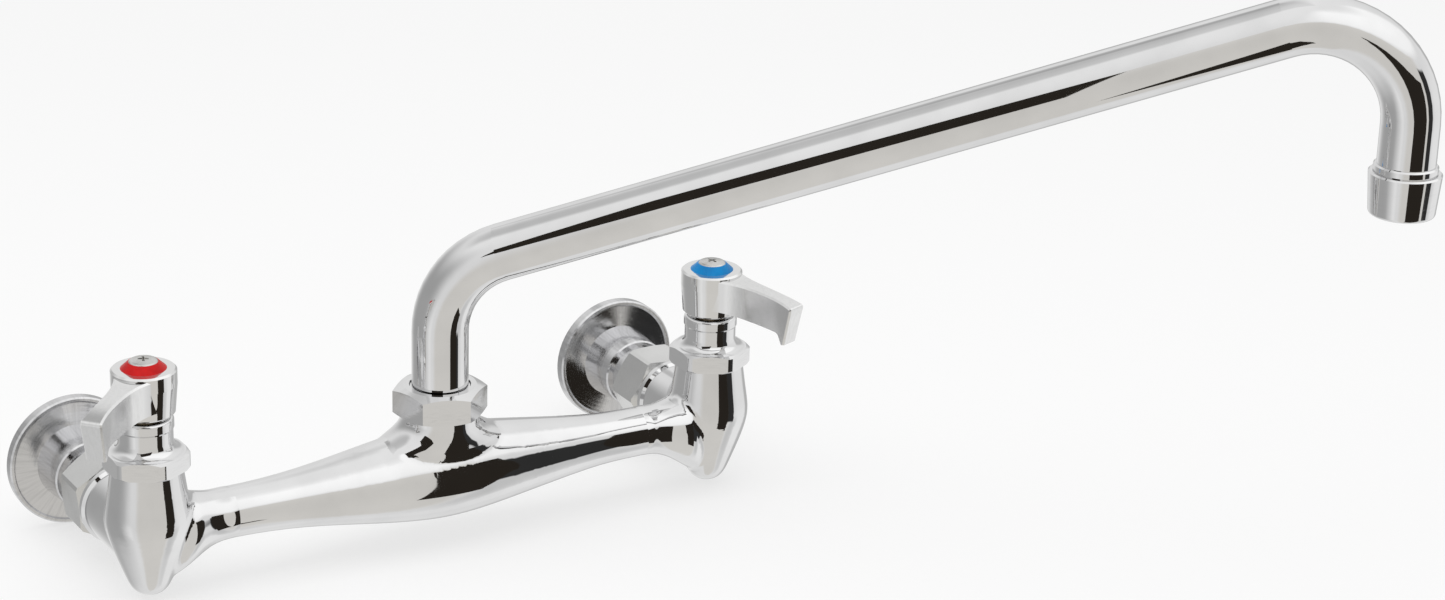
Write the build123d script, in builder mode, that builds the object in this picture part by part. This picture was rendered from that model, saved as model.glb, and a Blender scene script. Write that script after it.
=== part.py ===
"""Commercial wall faucet: two lever valves on 8 inch centres and a swinging spout.

The wall is the plane Y = 0, the faucet stands out of it towards -Y, +X is the cold side
and Z = 0 is the height of the two inlets. The origin is midway between the inlets, on the wall.
"""
from build123d import *
import os
from math import cos, radians, sin, sqrt, tan

os.makedirs("parts", exist_ok=True)

# ---------------------------------------------------------------- driving dimensions, mm, degrees
inlet_centres = 203.2            # 8 in between the two supply pipes
valve_reach = 68.0               # wall to the valve axes
fit_gap = 0.05                   # radial clearance of a turned fit
free_gap = 0.30                  # clearance of parts that pass without touching
thread_gap = 0.05                # radial clearance left in a plain threaded pair
thread_chamfer = 0.8             # start of a male thread
edge_chamfer = 0.5               # broken edge of a turned piece

# body casting
housing_radius = 13.2            # widest part of a valve housing, at housing_girth
housing_girth = 2.0
housing_top = 22.2               # machined faces under the bonnets and the spout nut
housing_top_radius = 11.4
housing_depth = 20.8             # rounded tip below the inlet axis
housing_shoulder_radius = 7.8    # where the side turns in to the tip
housing_shoulder = housing_depth - 6.8
arm_rise = 1.5                   # the cross arm's axis above the inlet axis
arm_radius = 8.3                 # cross arm, thinnest
fairing_length = 27.6            # from a housing's axis to the thinnest place
arm_thin = inlet_centres / 2 - fairing_length
arm_half_radius = 9.6
arm_half = arm_thin - 24.0
arm_quarter_radius = 13.1        # halfway between arm_half and the middle
bar_radius = 15.4                # cross arm at the middle
fairing_blend = 11.6             # the fairing into a housing is deepest this far from its axis
fairing_bottom = 12.6            # depth there, below the inlet axis
fairing_tip = 2.0                # the fairing runs out this far above a housing's tip
neck_radius = 12.9               # neck under the spout nut
neck_flare = 9.5                 # how far the neck spreads along the arms
neck_depth = 8.4                 # depth below its top where it has spread that far
neck_blend = 6.0
inlet_arm_radius = 12.2
inlet_collar_radius = 13.1
inlet_collar_width = 2.2
inlet_face = valve_reach - 26.2  # wall to the end face of an inlet arm
housing_blend = 4.0              # where the arms meet the housings
chamber_radius = 9.0             # valve bore
chamber_mouth_radius = 9.9       # recess for the bonnet's ring
chamber_mouth_depth = 1.5
seat_height = 1.0                # floor of the valve bore
supply_port_radius = 4.6
supply_drop = 6.5                # depth of the supply way under the valve seat
cross_way_radius = 4.5
branch_way_radius = 3.2
branch_rise = 4.2                # height of the branch way where it leaves the valve bore
mixing_radius = 7.2
mixing_depth = 4.0               # mixing space below the inlet axis

# spout seat in the body
spout_bore = 9.5
spout_bore_floor = 13.5
nipple_radius = 11.5             # male thread under the spout nut
nipple_top = 25.8

# wall flange
flange_radius = 22.0
flange_thickness = 4.1
flange_lip = 1.3
flange_dish = 0.5
flange_hub_radius = 13.0
flange_hub_end_radius = 12.0
flange_hub_end = inlet_face - 23.2        # distances along the inlet axis are from the wall
pipe_thread_radius = 9.2         # female 1/2 NPT, plain
pipe_thread_depth = 15.0
union_thread_radius = 10.5
union_thread_end = inlet_face - 8.8
waterway_radius = 6.6

# union
union_washer_thickness = 2.0
union_washer_radius = 10.0
tail_shoulder_radius = 10.2
tail_shoulder_width = 3.0
tail_neck_radius = 8.5
tail_thread_radius = 8.9
tail_end = inlet_face + 10.2
tail_key_flats = 11.0
union_nut_back = inlet_face - 16.3
union_nut_front = inlet_face - free_gap
union_nut_flats = 25.4
union_nut_turned = 28.6
union_nut_chamfer = 1.4
union_nut_turns = {"hot": 35.0, "cold": 0.5}           # direction of one corner

# bonnet
bonnet_flats = 24.5
bonnet_turned = 27.3
bonnet_hex_top = 28.1
bonnet_neck_radius = 8.6
bonnet_collar_radius = 8.95
bonnet_collar_height = 4.0
bonnet_collar_step = 0.6
bonnet_crown = 1.2               # rounding of the collar's top
bonnet_top = 39.5
bonnet_flare = 3.6
bonnet_chamfer = 0.7
bonnet_bevel = 1.2               # width of the bevel round the top of the hexagon
bonnet_spigot_end = 12.5
bonnet_turn = 31.0               # direction of one corner

# cartridge
cage_socket_radius = 7.4         # counterbore of the bonnet over the cage
stem_radius = 5.0
stem_flange_radius = 6.0
stem_flange_bottom = 13.5
stem_flange_top = 16.0
stem_square = 6.4
stem_square_bottom = 41.5
stem_top = 51.5
stem_seal_height = 24.0
stem_seal_section = 0.8
tongue_width = 3.0
tongue_length = 9.0
tongue_bottom = 6.5
thrust_washer_thickness = 1.6
cage_socket_top = stem_flange_top + thrust_washer_thickness + fit_gap
cage_radius = 8.2
cage_bore = 6.4
cage_bottom = 2.2
cage_shoulder = 12.4
cage_top = 15.4
cage_window = 4.0
cage_window_width = 6.0
cage_window_rim = 0.6            # left above the windows
fixed_disc_bottom = 2.8
disc_thickness = 2.4
disc_port_radius = 4.4
disc_port_inner = 1.76
disc_port_angle = 84.0
fixed_disc_radius = 6.35
turning_disc_radius = 6.0
seat_seal_inner = 4.7
seat_seal_outer = 6.2
bonnet_ring_section = 0.7
bonnet_undercut_radius = 8.4     # the ring sits round this, in the recess of the body's mouth

# lever handle
handle_bottom = 40.7
handle_top = 55.5
hub_radius = 10.3
hub_bottom_radius = 9.5
hub_bevel = 0.6
lever_reach = 37.0
lever_widths = ((0, 17.6), (5.0, 16.2), (8.0, 12.8), (15.0, 8.0), (23.0, 6.4), (30.0, 6.2))
lever_tip_width = 7.6
lever_tops = ((0, 54.8), (16.0, 54.2), (24.0, 53.6), (31.0, 52.7))   # distance and height
lever_tip_top = 51.2
lever_underside = ((0, 43.8), (8.0, 43.6), (16.0, 42.8), (24.0, 42.1))
lever_hook_reach = 31.2          # inner corner of the hook at the tip
lever_hook_top = 41.4
lever_hook_fillet = 2.0
lever_toe_reach = 34.1
lever_toe_width = 1.1
lever_toe = 37.8                 # height of the hook's end
lever_nose = 1.2                 # rounding of the tip's upper edge
lever_bevel = 0.6
handle_angles = {"hot": 222.5, "cold": -70.0}          # direction of the lever from +X
closed_angles = {"hot": 180.0, "cold": 0.0}            # levers point outwards when closed

# index ring and handle screw
ring_base_radius = 7.2
ring_top_radius = 4.8
ring_height = 2.2
ring_spigot_radius = 6.0
ring_spigot_depth = 1.6
screw_head_radius = 4.5
screw_head_height = 1.7
screw_head_rise = 0.4            # the head's crown above the index ring
screw_shank_radius = 1.9
screw_length = 15.0
cross_width = 0.95
cross_length = 4.6
cross_depth = 1.2

# spout
tube_radius = 9.25
tube_wall = 1.0
tube_bend_radius = 30.0
spout_reach = 301.5
spout_slope = 20.0
spout_corner_height = 71.5       # where the riser's axis meets the sloping axis
spout_angle = -36.0              # from +X, towards -Y
outlet_end = 125.5
ferrule_shoulder_radius = 11.0
ferrule_shoulder_bottom = 26.9
ferrule_shoulder_top = 29.2
ferrule_socket_top = 31.5
ferrule_socket_wall = 0.5
ferrule_bottom = 14.5
ferrule_bore = 6.6
ferrule_spigot = 11.0
spout_seal_section = 0.8
spout_seal_heights = (18.0, 22.0)
slip_washer_thickness = 0.8

# spout nut
spout_nut_flats = 27.0
spout_nut_bottom = 22.4
spout_nut_top = 32.1
spout_nut_hole = 10.05
spout_nut_lip = 2.6
spout_nut_chamfer = 1.6
spout_nut_turn = 43.0            # direction of one corner

# outlet and aerator
outlet_spigot = 8.0
outlet_bead_radius = 10.1
outlet_bead_height = 2.2
outlet_thread_radius = 9.9
outlet_thread_end = 117.5
outlet_bore = 7.2
aerator_top = 123.0
aerator_bottom = 109.0
aerator_top_radius = 11.5
aerator_bottom_radius = 10.5
aerator_mouth = 7.9
aerator_floor = 1.2
aerator_rounding = 1.2
aerator_washer_thickness = 1.8
insert_radius = 9.3
insert_holes = 12                # in the outer row, half as many in the inner
insert_outer_row = 5.8
insert_inner_row = 2.8
insert_hole_radius = 0.8

sides = {"hot": -1, "cold": 1}
upwards = (0, 0, 1)
outwards = (0, -1, 0)


def valve_x(side):
    return sides[side] * inlet_centres / 2


def standing(x, y=-valve_reach, turn=0.0):
    """Section plane through an upright axis: its own x is the radius and its own y the height."""
    across = (cos(radians(turn)), sin(radians(turn)), 0)
    normal = (sin(radians(turn)), -cos(radians(turn)), 0)
    return Plane(origin=(x, y, 0), x_dir=across, z_dir=normal)


def facing_out(side):
    """Direction from the middle towards a side, from +X."""
    return 90 - 90 * sides[side]


def upright_axis(x, y=-valve_reach):
    return Axis((x, y, 0), upwards)


def lying(side):
    """Section plane along an inlet axis: its own x is the distance from the wall, y the radius."""
    return Plane(origin=(valve_x(side), 0, 0), x_dir=outwards, z_dir=(-1, 0, 0))


def inlet_axis(side):
    return Axis((valve_x(side), 0, 0), outwards)


def across_inlet(side, distance):
    """Plane across an inlet axis at a distance from the wall, facing outwards."""
    return Plane(origin=(valve_x(side), -distance, 0), x_dir=(1, 0, 0), z_dir=outwards)


def outlet_place():
    return (spout_reach * cos(radians(spout_angle)),
            -valve_reach + spout_reach * sin(radians(spout_angle)))


def turned(plane, axis, *outline):
    """A turned piece: a closed outline of straight lines, revolved about an axis."""
    with BuildPart() as piece:
        with BuildSketch(plane):
            with BuildLine():
                Polyline(*outline, close=True)
            make_face()
        revolve(axis=axis)
    return piece.part


def ring(plane, axis, radius, height, section):
    """A rubber ring of round section."""
    with BuildPart() as piece:
        with BuildSketch(plane):
            with Locations((radius, height)):
                Circle(section)
        revolve(axis=axis)
    return piece.part


def hexagon(flats):
    return RegularPolygon(radius=flats / 2, side_count=6, major_radius=False)


def save(part, name):
    """Label one finished piece and write it to its own file."""
    part.label = name
    export_step(part, f"parts/{name}.step")


# ---------------------------------------------------------------- body casting

middle = upright_axis(0)
arm_top = arm_rise + arm_radius
arm_bottom = arm_rise - arm_radius
# fairing of an arm into a housing: distance from the housing's axis, half depth, top and bottom
fairing_sections = (
    (fairing_length, arm_radius, arm_top, arm_bottom),
    (2.0 * fairing_blend, arm_radius + 0.1, arm_top, arm_bottom - 0.3),
    (1.5 * fairing_blend, arm_radius + 1.0, arm_top + 0.5, (arm_bottom - fairing_bottom) / 2 + 0.7),
    (fairing_blend, arm_radius + 2.5, arm_top + 1.7, -fairing_bottom),
    (fairing_blend / 2, arm_radius - 0.3, arm_top + 1.2, 2.3 + fairing_tip - housing_depth),
    (0, arm_radius - 3.3, arm_top + 1.2, fairing_tip - housing_depth),
)
# neck under the spout nut: depth below its top, half its spread and half its depth
neck_sections = (
    (0, neck_radius, neck_radius),
    (neck_depth * 0.32, neck_radius + neck_flare * 0.06, neck_radius),
    (neck_depth * 0.64, neck_radius + neck_flare * 0.38, neck_radius),
    (neck_depth, neck_radius + neck_flare, neck_radius - 0.2),
    (neck_depth + 5.0, neck_radius + neck_flare * 1.5, bar_radius * 0.785),
)

with BuildPart() as faucet_body:
    # pear-shaped valve housings, each turned about its own axis
    for side in sides:
        with BuildSketch(standing(valve_x(side), turn=facing_out(side))):
            with BuildLine():
                shell = Spline(
                    (0, -housing_depth),
                    (housing_shoulder_radius, -housing_shoulder),
                    (housing_radius, housing_girth),
                    (housing_top_radius, housing_top),
                    tangents=((1, 0), (-0.12, 1)),
                )
                Polyline(shell @ 1, (0, housing_top), shell @ 0)
            make_face()
        revolve(axis=upright_axis(valve_x(side)))
    # inlet arms with a collar at the wall end
    for side in sides:
        collar_end = inlet_face + inlet_collar_width
        step = inlet_collar_radius - inlet_arm_radius
        with BuildSketch(lying(side)):
            with BuildLine():
                Polyline(
                    (inlet_face, 0),
                    (inlet_face, inlet_collar_radius - edge_chamfer),
                    (inlet_face + edge_chamfer, inlet_collar_radius),
                    (collar_end, inlet_collar_radius),
                    (collar_end + step, inlet_arm_radius),
                    (valve_reach, inlet_arm_radius),
                    (valve_reach, 0),
                    close=True,
                )
            make_face()
        revolve(axis=inlet_axis(side))
    # cross arm, swelling towards the middle
    with BuildSketch(standing(0)):
        with BuildLine():
            swell = Spline(
                (-arm_thin, arm_top),
                (-arm_half, arm_rise + arm_half_radius),
                (-arm_half / 2, arm_rise + arm_quarter_radius),
                (0, arm_rise + bar_radius),
                (arm_half / 2, arm_rise + arm_quarter_radius),
                (arm_half, arm_rise + arm_half_radius),
                (arm_thin, arm_top),
                tangents=((1, 0), (1, 0)),
            )
            Polyline(swell @ 1, (arm_thin, arm_rise), (-arm_thin, arm_rise), swell @ 0)
        make_face()
    revolve(axis=Axis((0, -valve_reach, arm_rise), (1, 0, 0)))
    # fairings of the arms into the housings
    for side in sides:
        for offset, half_depth, top, bottom in fairing_sections:
            place = (valve_x(side) - sides[side] * offset, -valve_reach, (top + bottom) / 2)
            with BuildSketch(Plane(origin=place, x_dir=(0, 1, 0), z_dir=(1, 0, 0))):
                Ellipse(half_depth, (top - bottom) / 2)
        loft()
    # neck for the spout, spreading along the arms, and its threaded nipple
    for below, half_spread, half_depth in neck_sections:
        with BuildSketch(Plane(origin=(0, -valve_reach, housing_top - below))):
            Ellipse(half_spread, half_depth)
    loft()
    fillet(faucet_body.edges(Select.NEW).filter_by(
        lambda edge: edge.center().Z < housing_top - fit_gap), neck_blend)
    with BuildSketch(standing(0)):
        with BuildLine():
            Polyline(
                (0, 0),
                (nipple_radius, 0),
                (nipple_radius, nipple_top - thread_chamfer),
                (nipple_radius - thread_chamfer, nipple_top),
                (0, nipple_top),
                close=True,
            )
        make_face()
    revolve(axis=middle)


def joins_housing(edge):
    """True for the edges where an arm or an inlet arm runs into a valve housing."""
    box = edge.bounding_box()
    near = inlet_centres / 2 - housing_radius - 2 < abs(edge.center().X)
    front = edge.center().Y < -inlet_face - inlet_collar_width - inlet_collar_radius / 2
    return (edge.geom_type == GeomType.BSPLINE and near and front
            and edge.center().Z < housing_shoulder and box.size.Y > 0.2)


with faucet_body:
    fillet(faucet_body.edges().filter_by(joins_housing), housing_blend)

with faucet_body:
    for side in sides:
        x = valve_x(side)
        arm_way = sides[side] * arm_thin
        # valve bore with a recess at its mouth, and the port under the seat
        with BuildSketch(standing(x)):
            with BuildLine():
                Polyline(
                    (0, -supply_drop),
                    (supply_port_radius, -supply_drop),
                    (supply_port_radius, seat_height),
                    (chamber_radius, seat_height),
                    (chamber_radius, housing_top - chamber_mouth_depth),
                    (chamber_mouth_radius, housing_top - chamber_mouth_depth),
                    (chamber_mouth_radius, housing_top),
                    (0, housing_top),
                    close=True,
                )
            make_face()
        revolve(axis=upright_axis(x), mode=Mode.SUBTRACT)
        # threaded mouth of the inlet arm
        with BuildSketch(across_inlet(side, inlet_face)):
            Circle(tail_thread_radius + thread_gap)
        extrude(amount=tail_end - inlet_face + free_gap, mode=Mode.SUBTRACT)
        # supply way, sloping down under the valve seat
        supply_start = Vector(x, -tail_end, 0)
        supply_way = Vector(x, -valve_reach, -supply_drop) - supply_start
        with BuildSketch(Plane(origin=supply_start, z_dir=supply_way)):
            Circle(supply_port_radius)
        extrude(amount=supply_way.length, mode=Mode.SUBTRACT)
        # branch way from the valve bore down to the cross way in the arm
        branch_start = Vector(x - sides[side] * chamber_radius / 2, -valve_reach, branch_rise)
        branch_way = Vector(arm_way, -valve_reach, arm_rise) - branch_start
        with BuildSketch(Plane(origin=branch_start, z_dir=branch_way)):
            Circle(branch_way_radius)
        extrude(amount=branch_way.length, mode=Mode.SUBTRACT)
    # cross way and the mixing space under the spout
    with BuildSketch(Plane(origin=(-arm_thin, -valve_reach, arm_rise), z_dir=(1, 0, 0))):
        Circle(cross_way_radius)
    extrude(amount=2 * arm_thin, mode=Mode.SUBTRACT)
    with BuildSketch(standing(0)):
        with BuildLine():
            Polyline(
                (0, -mixing_depth),
                (mixing_radius, -mixing_depth),
                (mixing_radius, spout_bore_floor),
                (spout_bore, spout_bore_floor),
                (spout_bore, nipple_top),
                (0, nipple_top),
                close=True,
            )
        make_face()
    revolve(axis=middle, mode=Mode.SUBTRACT)

save(faucet_body.part, "faucet_body")


# ---------------------------------------------------------------- supply connections


def wall_flange(side):
    """Round wall flange with a pipe thread at the wall and a union thread in front."""
    face = flange_thickness - flange_dish
    with BuildPart() as piece:
        with BuildSketch(lying(side)):
            with BuildLine():
                Polyline(
                    (0, waterway_radius),
                    (0, flange_radius - edge_chamfer),
                    (edge_chamfer, flange_radius),
                    (flange_thickness - edge_chamfer, flange_radius),
                    (flange_thickness, flange_radius - edge_chamfer),
                    (flange_thickness, flange_radius - flange_lip),
                    (face, flange_radius - flange_lip - flange_dish),
                    (flange_thickness + flange_dish, flange_hub_radius),
                    (flange_hub_end - edge_chamfer, flange_hub_end_radius),
                    (flange_hub_end, flange_hub_end_radius - edge_chamfer),
                    (flange_hub_end, union_thread_radius),
                    (union_thread_end - thread_chamfer, union_thread_radius),
                    (union_thread_end, union_thread_radius - thread_chamfer),
                    (union_thread_end, waterway_radius),
                    close=True,
                )
            make_face()
        revolve(axis=inlet_axis(side))
        with BuildSketch(across_inlet(side, 0)):
            Circle(pipe_thread_radius)
        extrude(amount=pipe_thread_depth, mode=Mode.SUBTRACT)
    return piece.part


def union_washer(side):
    start = union_thread_end
    end = start + union_washer_thickness
    return turned(
        lying(side), inlet_axis(side),
        (start, waterway_radius), (start, union_washer_radius),
        (end, union_washer_radius), (end, waterway_radius),
    )


def union_tailpiece(side):
    """Tailpiece screwed into the body: its shoulder is what the union nut pulls on."""
    start = union_thread_end + union_washer_thickness
    shoulder_end = start + tail_shoulder_width
    with BuildPart() as piece:
        with BuildSketch(lying(side)):
            with BuildLine():
                Polyline(
                    (start, 0),
                    (start, tail_shoulder_radius),
                    (shoulder_end, tail_shoulder_radius),
                    (shoulder_end, tail_neck_radius),
                    (inlet_face, tail_neck_radius),
                    (inlet_face, tail_thread_radius),
                    (tail_end - thread_chamfer, tail_thread_radius),
                    (tail_end, tail_thread_radius - thread_chamfer),
                    (tail_end, 0),
                    close=True,
                )
            make_face()
        revolve(axis=inlet_axis(side))
        with BuildSketch(across_inlet(side, start)):
            hexagon(tail_key_flats)
        extrude(amount=tail_end - start, mode=Mode.SUBTRACT)
    return piece.part


def union_nut(side):
    """Hex nut turned down to a round at its corners, with a lip that holds the tailpiece."""
    length = union_nut_front - union_nut_back
    lip_start = union_thread_end + union_washer_thickness + tail_shoulder_width + fit_gap
    corner = union_nut_turned / 2
    chamfer_top = corner - 1.7 * union_nut_chamfer
    with BuildPart() as piece:
        with BuildSketch(across_inlet(side, union_nut_back)):
            with Locations(Rotation(0, 0, union_nut_turns[side])):
                hexagon(union_nut_flats)
        extrude(amount=length)
        with BuildSketch(lying(side)):
            with BuildLine():
                Polyline(
                    (union_nut_back, 0),
                    (union_nut_back, chamfer_top),
                    (union_nut_back + union_nut_chamfer, corner),
                    (union_nut_front - union_nut_chamfer, corner),
                    (union_nut_front, chamfer_top),
                    (union_nut_front, 0),
                    close=True,
                )
            make_face()
        revolve(axis=inlet_axis(side), mode=Mode.INTERSECT)
        with BuildSketch(across_inlet(side, union_nut_back)):
            Circle(union_thread_radius + thread_gap)
        extrude(amount=lip_start - union_nut_back, mode=Mode.SUBTRACT)
        with BuildSketch(across_inlet(side, lip_start)):
            Circle(tail_neck_radius + free_gap)
        extrude(amount=union_nut_front - lip_start, mode=Mode.SUBTRACT)
    return piece.part


for side in sides:
    save(wall_flange(side), f"{side}_wall_flange")
    save(union_washer(side), f"{side}_union_washer")
    save(union_tailpiece(side), f"{side}_union_tailpiece")
    save(union_nut(side), f"{side}_union_nut")


# ---------------------------------------------------------------- valves


def bonnet(side):
    """Bonnet with a hex flange, a flared neck and a threaded spigot that enters the body."""
    x = valve_x(side)
    corner = bonnet_turned / 2
    flare_foot = bonnet_neck_radius + bonnet_flare
    with BuildPart() as piece:
        with BuildSketch(Plane(origin=(x, -valve_reach, housing_top))):
            with Locations(Rotation(0, 0, bonnet_turn)):
                hexagon(bonnet_flats)
        extrude(amount=bonnet_hex_top - housing_top)
        with BuildSketch(standing(x)):
            with BuildLine():
                Polyline(
                    (0, housing_top),
                    (corner - bonnet_chamfer, housing_top),
                    (corner, housing_top + bonnet_chamfer),
                    (corner, bonnet_hex_top - bonnet_chamfer),
                    (corner - bonnet_bevel, bonnet_hex_top),
                    (0, bonnet_hex_top),
                    close=True,
                )
            make_face()
        revolve(axis=upright_axis(x), mode=Mode.INTERSECT)
        # flared neck and rounded collar
        with BuildSketch(standing(x)):
            with BuildLine():
                foot = Line((0, housing_top), (flare_foot, housing_top))
                rise = Line(foot @ 1, (flare_foot, bonnet_hex_top))
                flare = RadiusArc(
                    rise @ 1, (bonnet_neck_radius, bonnet_hex_top + bonnet_flare), bonnet_flare)
                collar = Polyline(
                    flare @ 1,
                    (bonnet_neck_radius, bonnet_top - bonnet_collar_height),
                    (bonnet_collar_radius, bonnet_top - bonnet_collar_height + bonnet_collar_step),
                    (bonnet_collar_radius, bonnet_top - bonnet_crown),
                )
                crown = RadiusArc(
                    collar @ 1, (bonnet_collar_radius - bonnet_crown, bonnet_top), -bonnet_crown)
                Polyline(crown @ 1, (0, bonnet_top), foot @ 0)
            make_face()
        revolve(axis=upright_axis(x))
        # threaded spigot below, undercut where the ring sits
        with BuildSketch(Plane(origin=(x, -valve_reach, bonnet_spigot_end))):
            Circle(chamber_radius - thread_gap)
        extrude(amount=housing_top - chamber_mouth_depth - bonnet_spigot_end)
        with BuildSketch(Plane(origin=(x, -valve_reach, bonnet_spigot_end))):
            Circle(bonnet_undercut_radius)
        extrude(amount=housing_top - bonnet_spigot_end)
        with BuildSketch(Plane(origin=(x, -valve_reach, bonnet_spigot_end))):
            Circle(stem_radius + fit_gap)
        extrude(amount=bonnet_top - bonnet_spigot_end, mode=Mode.SUBTRACT)
        with BuildSketch(Plane(origin=(x, -valve_reach, bonnet_spigot_end))):
            Circle(cage_socket_radius)
        extrude(amount=cage_socket_top - bonnet_spigot_end, mode=Mode.SUBTRACT)
    return piece.part


def cartridge_cage(side):
    """Brass cage round the ceramic discs, with two windows above them."""
    x = valve_x(side)
    spigot = cage_socket_radius - fit_gap
    with BuildPart() as piece:
        with BuildSketch(standing(x)):
            with BuildLine():
                Polyline(
                    (cage_bore, cage_bottom),
                    (cage_radius, cage_bottom),
                    (cage_radius, cage_shoulder),
                    (spigot, cage_shoulder),
                    (spigot, cage_top),
                    (cage_bore, cage_top),
                    close=True,
                )
            make_face()
        revolve(axis=upright_axis(x))
        window_middle = cage_shoulder - cage_window_rim - cage_window / 2
        with BuildSketch(Plane(origin=(x, -valve_reach - 2 * cage_radius, window_middle),
                               z_dir=(0, 1, 0))):
            Rectangle(cage_window_width, cage_window)
        extrude(amount=4 * cage_radius, mode=Mode.SUBTRACT)
    return piece.part


def ported_disc(side, bottom, radius, port_turn):
    """Ceramic disc with two ports opposite each other."""
    half = disc_port_angle / 2
    place = (valve_x(side), -valve_reach, bottom)
    with BuildPart() as piece:
        with BuildSketch(Plane(origin=place)):
            Circle(radius)
        extrude(amount=disc_thickness)
        with BuildSketch(Plane(origin=place)):
            for turn in (port_turn, port_turn + 180):
                with BuildLine():
                    outer = CenterArc((0, 0), disc_port_radius, turn - half, disc_port_angle)
                    inner = CenterArc((0, 0), disc_port_inner, turn - half, disc_port_angle)
                    Line(outer @ 0, inner @ 0)
                    Line(outer @ 1, inner @ 1)
                make_face()
        extrude(amount=disc_thickness, mode=Mode.SUBTRACT)
    return piece.part


def slot_turn(side):
    """Direction of the stem's tongue: along +X when the valve is closed."""
    return handle_angles[side] - closed_angles[side]


def turning_disc(side):
    """Upper disc, a quarter turn from the lower one when closed, slotted for the stem."""
    bottom = fixed_disc_bottom + disc_thickness + fit_gap
    top = bottom + disc_thickness
    with BuildPart() as piece:
        add(ported_disc(side, bottom, turning_disc_radius, slot_turn(side) + 90))
        with BuildSketch(Plane(origin=(valve_x(side), -valve_reach, tongue_bottom - fit_gap))):
            Rectangle(2 * turning_disc_radius, tongue_width + 2 * fit_gap,
                      rotation=slot_turn(side))
        extrude(amount=top - tongue_bottom + fit_gap, mode=Mode.SUBTRACT)
    return piece.part


def valve_stem(side):
    """Stem with a tongue for the disc, a thrust flange, a seal groove and a square for the lever."""
    x = valve_x(side)
    groove_half = stem_seal_section + fit_gap
    groove_radius = stem_radius - 2 * stem_seal_section
    with BuildPart() as piece:
        with BuildSketch(standing(x)):
            with BuildLine():
                Polyline(
                    (0, stem_flange_bottom),
                    (stem_flange_radius, stem_flange_bottom),
                    (stem_flange_radius, stem_flange_top),
                    (stem_radius, stem_flange_top),
                    (stem_radius, stem_seal_height - groove_half),
                    (groove_radius, stem_seal_height - groove_half),
                    (groove_radius, stem_seal_height + groove_half),
                    (stem_radius, stem_seal_height + groove_half),
                    (stem_radius, stem_square_bottom),
                    (0, stem_square_bottom),
                    close=True,
                )
            make_face()
        revolve(axis=upright_axis(x))
        with BuildSketch(Plane(origin=(x, -valve_reach, tongue_bottom))):
            Rectangle(tongue_length, tongue_width, rotation=slot_turn(side))
        extrude(amount=stem_flange_bottom - tongue_bottom)
        with BuildSketch(Plane(origin=(x, -valve_reach, stem_square_bottom))):
            with Locations(Rotation(0, 0, handle_angles[side])):
                Rectangle(stem_square, stem_square)
        extrude(amount=stem_top - stem_square_bottom)
        with BuildSketch(Plane(origin=(x, -valve_reach, screw_seat() - screw_length - 1))):
            Circle(screw_shank_radius + thread_gap)
        extrude(amount=stem_top, mode=Mode.SUBTRACT)
    return piece.part


def screw_seat():
    """Height of the underside of the handle screw's head."""
    return handle_top + ring_height + screw_head_rise - screw_head_height


def lever_handle(side):
    """Round hub with a tapering lever that hooks down at its end."""
    x = valve_x(side)
    turn = handle_angles[side]
    section = standing(x, turn=turn)
    half_widths = [(distance, width / 2) for distance, width in lever_widths]
    half_widths.append((lever_reach, lever_tip_width / 2))
    with BuildPart() as blade:
        with BuildSketch(section):
            with BuildLine():
                top = Spline(*lever_tops, (lever_reach, lever_tip_top))
                hook = Polyline(
                    top @ 1,
                    (lever_toe_reach, lever_toe),
                    (lever_toe_reach - lever_toe_width, lever_toe),
                    (lever_hook_reach, lever_hook_top),
                )
                underside = Spline(hook @ 1, *reversed(lever_underside))
                Line(underside @ 1, top @ 0)
            make_face()
        extrude(amount=lever_widths[0][1], both=True)
        # plan outline: flares into the hub, narrow in the middle, wider at the tip
        with BuildSketch(Plane(origin=(x, -valve_reach, 0), x_dir=section.x_dir, z_dir=upwards)):
            with BuildLine():
                near = Spline(*half_widths)
                mirror(near, about=Plane.XZ)
                Line(near @ 0, (0, -half_widths[0][1]))
                Line(near @ 1, (lever_reach, -lever_tip_width / 2))
            make_face()
        extrude(amount=handle_top, mode=Mode.INTERSECT)
        fillet(blade.edges().filter_by(
            lambda edge: abs(edge.center().Z - lever_hook_top) < fit_gap), lever_hook_fillet)
        fillet(blade.edges().filter_by(
            lambda edge: abs(edge.center().Z - lever_tip_top) < fit_gap), lever_nose)
        chamfer(blade.edges().filter_by(
            lambda edge: edge.length > lever_reach / 2 and edge.center().Z > lever_tip_top),
            lever_bevel)
    with BuildPart() as piece:
        with BuildSketch(section):
            with BuildLine():
                Polyline(
                    (0, handle_bottom),
                    (hub_bottom_radius - edge_chamfer, handle_bottom),
                    (hub_bottom_radius, handle_bottom + edge_chamfer),
                    (hub_radius, handle_top - hub_radius / 2),
                    (hub_radius, handle_top - hub_bevel),
                    (hub_radius - hub_bevel, handle_top),
                    (0, handle_top),
                    close=True,
                )
            make_face()
        revolve(axis=upright_axis(x))
        add(blade.part)
        # square socket, relief for the round of the stem, screw hole and seat of the index ring
        with BuildSketch(Plane(origin=(x, -valve_reach, handle_bottom))):
            with Locations(Rotation(0, 0, turn)):
                Rectangle(stem_square + 2 * fit_gap, stem_square + 2 * fit_gap)
        extrude(amount=stem_top + free_gap - handle_bottom, mode=Mode.SUBTRACT)
        with BuildSketch(Plane(origin=(x, -valve_reach, handle_bottom))):
            Circle(stem_radius + free_gap)
        extrude(amount=stem_square_bottom + free_gap - handle_bottom, mode=Mode.SUBTRACT)
        with BuildSketch(Plane(origin=(x, -valve_reach, handle_bottom))):
            Circle(screw_shank_radius + free_gap)
        extrude(amount=handle_top - handle_bottom, mode=Mode.SUBTRACT)
        with BuildSketch(Plane(origin=(x, -valve_reach, handle_top - ring_spigot_depth))):
            Circle(ring_spigot_radius + fit_gap)
        extrude(amount=ring_spigot_depth, mode=Mode.SUBTRACT)
    return piece.part


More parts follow.
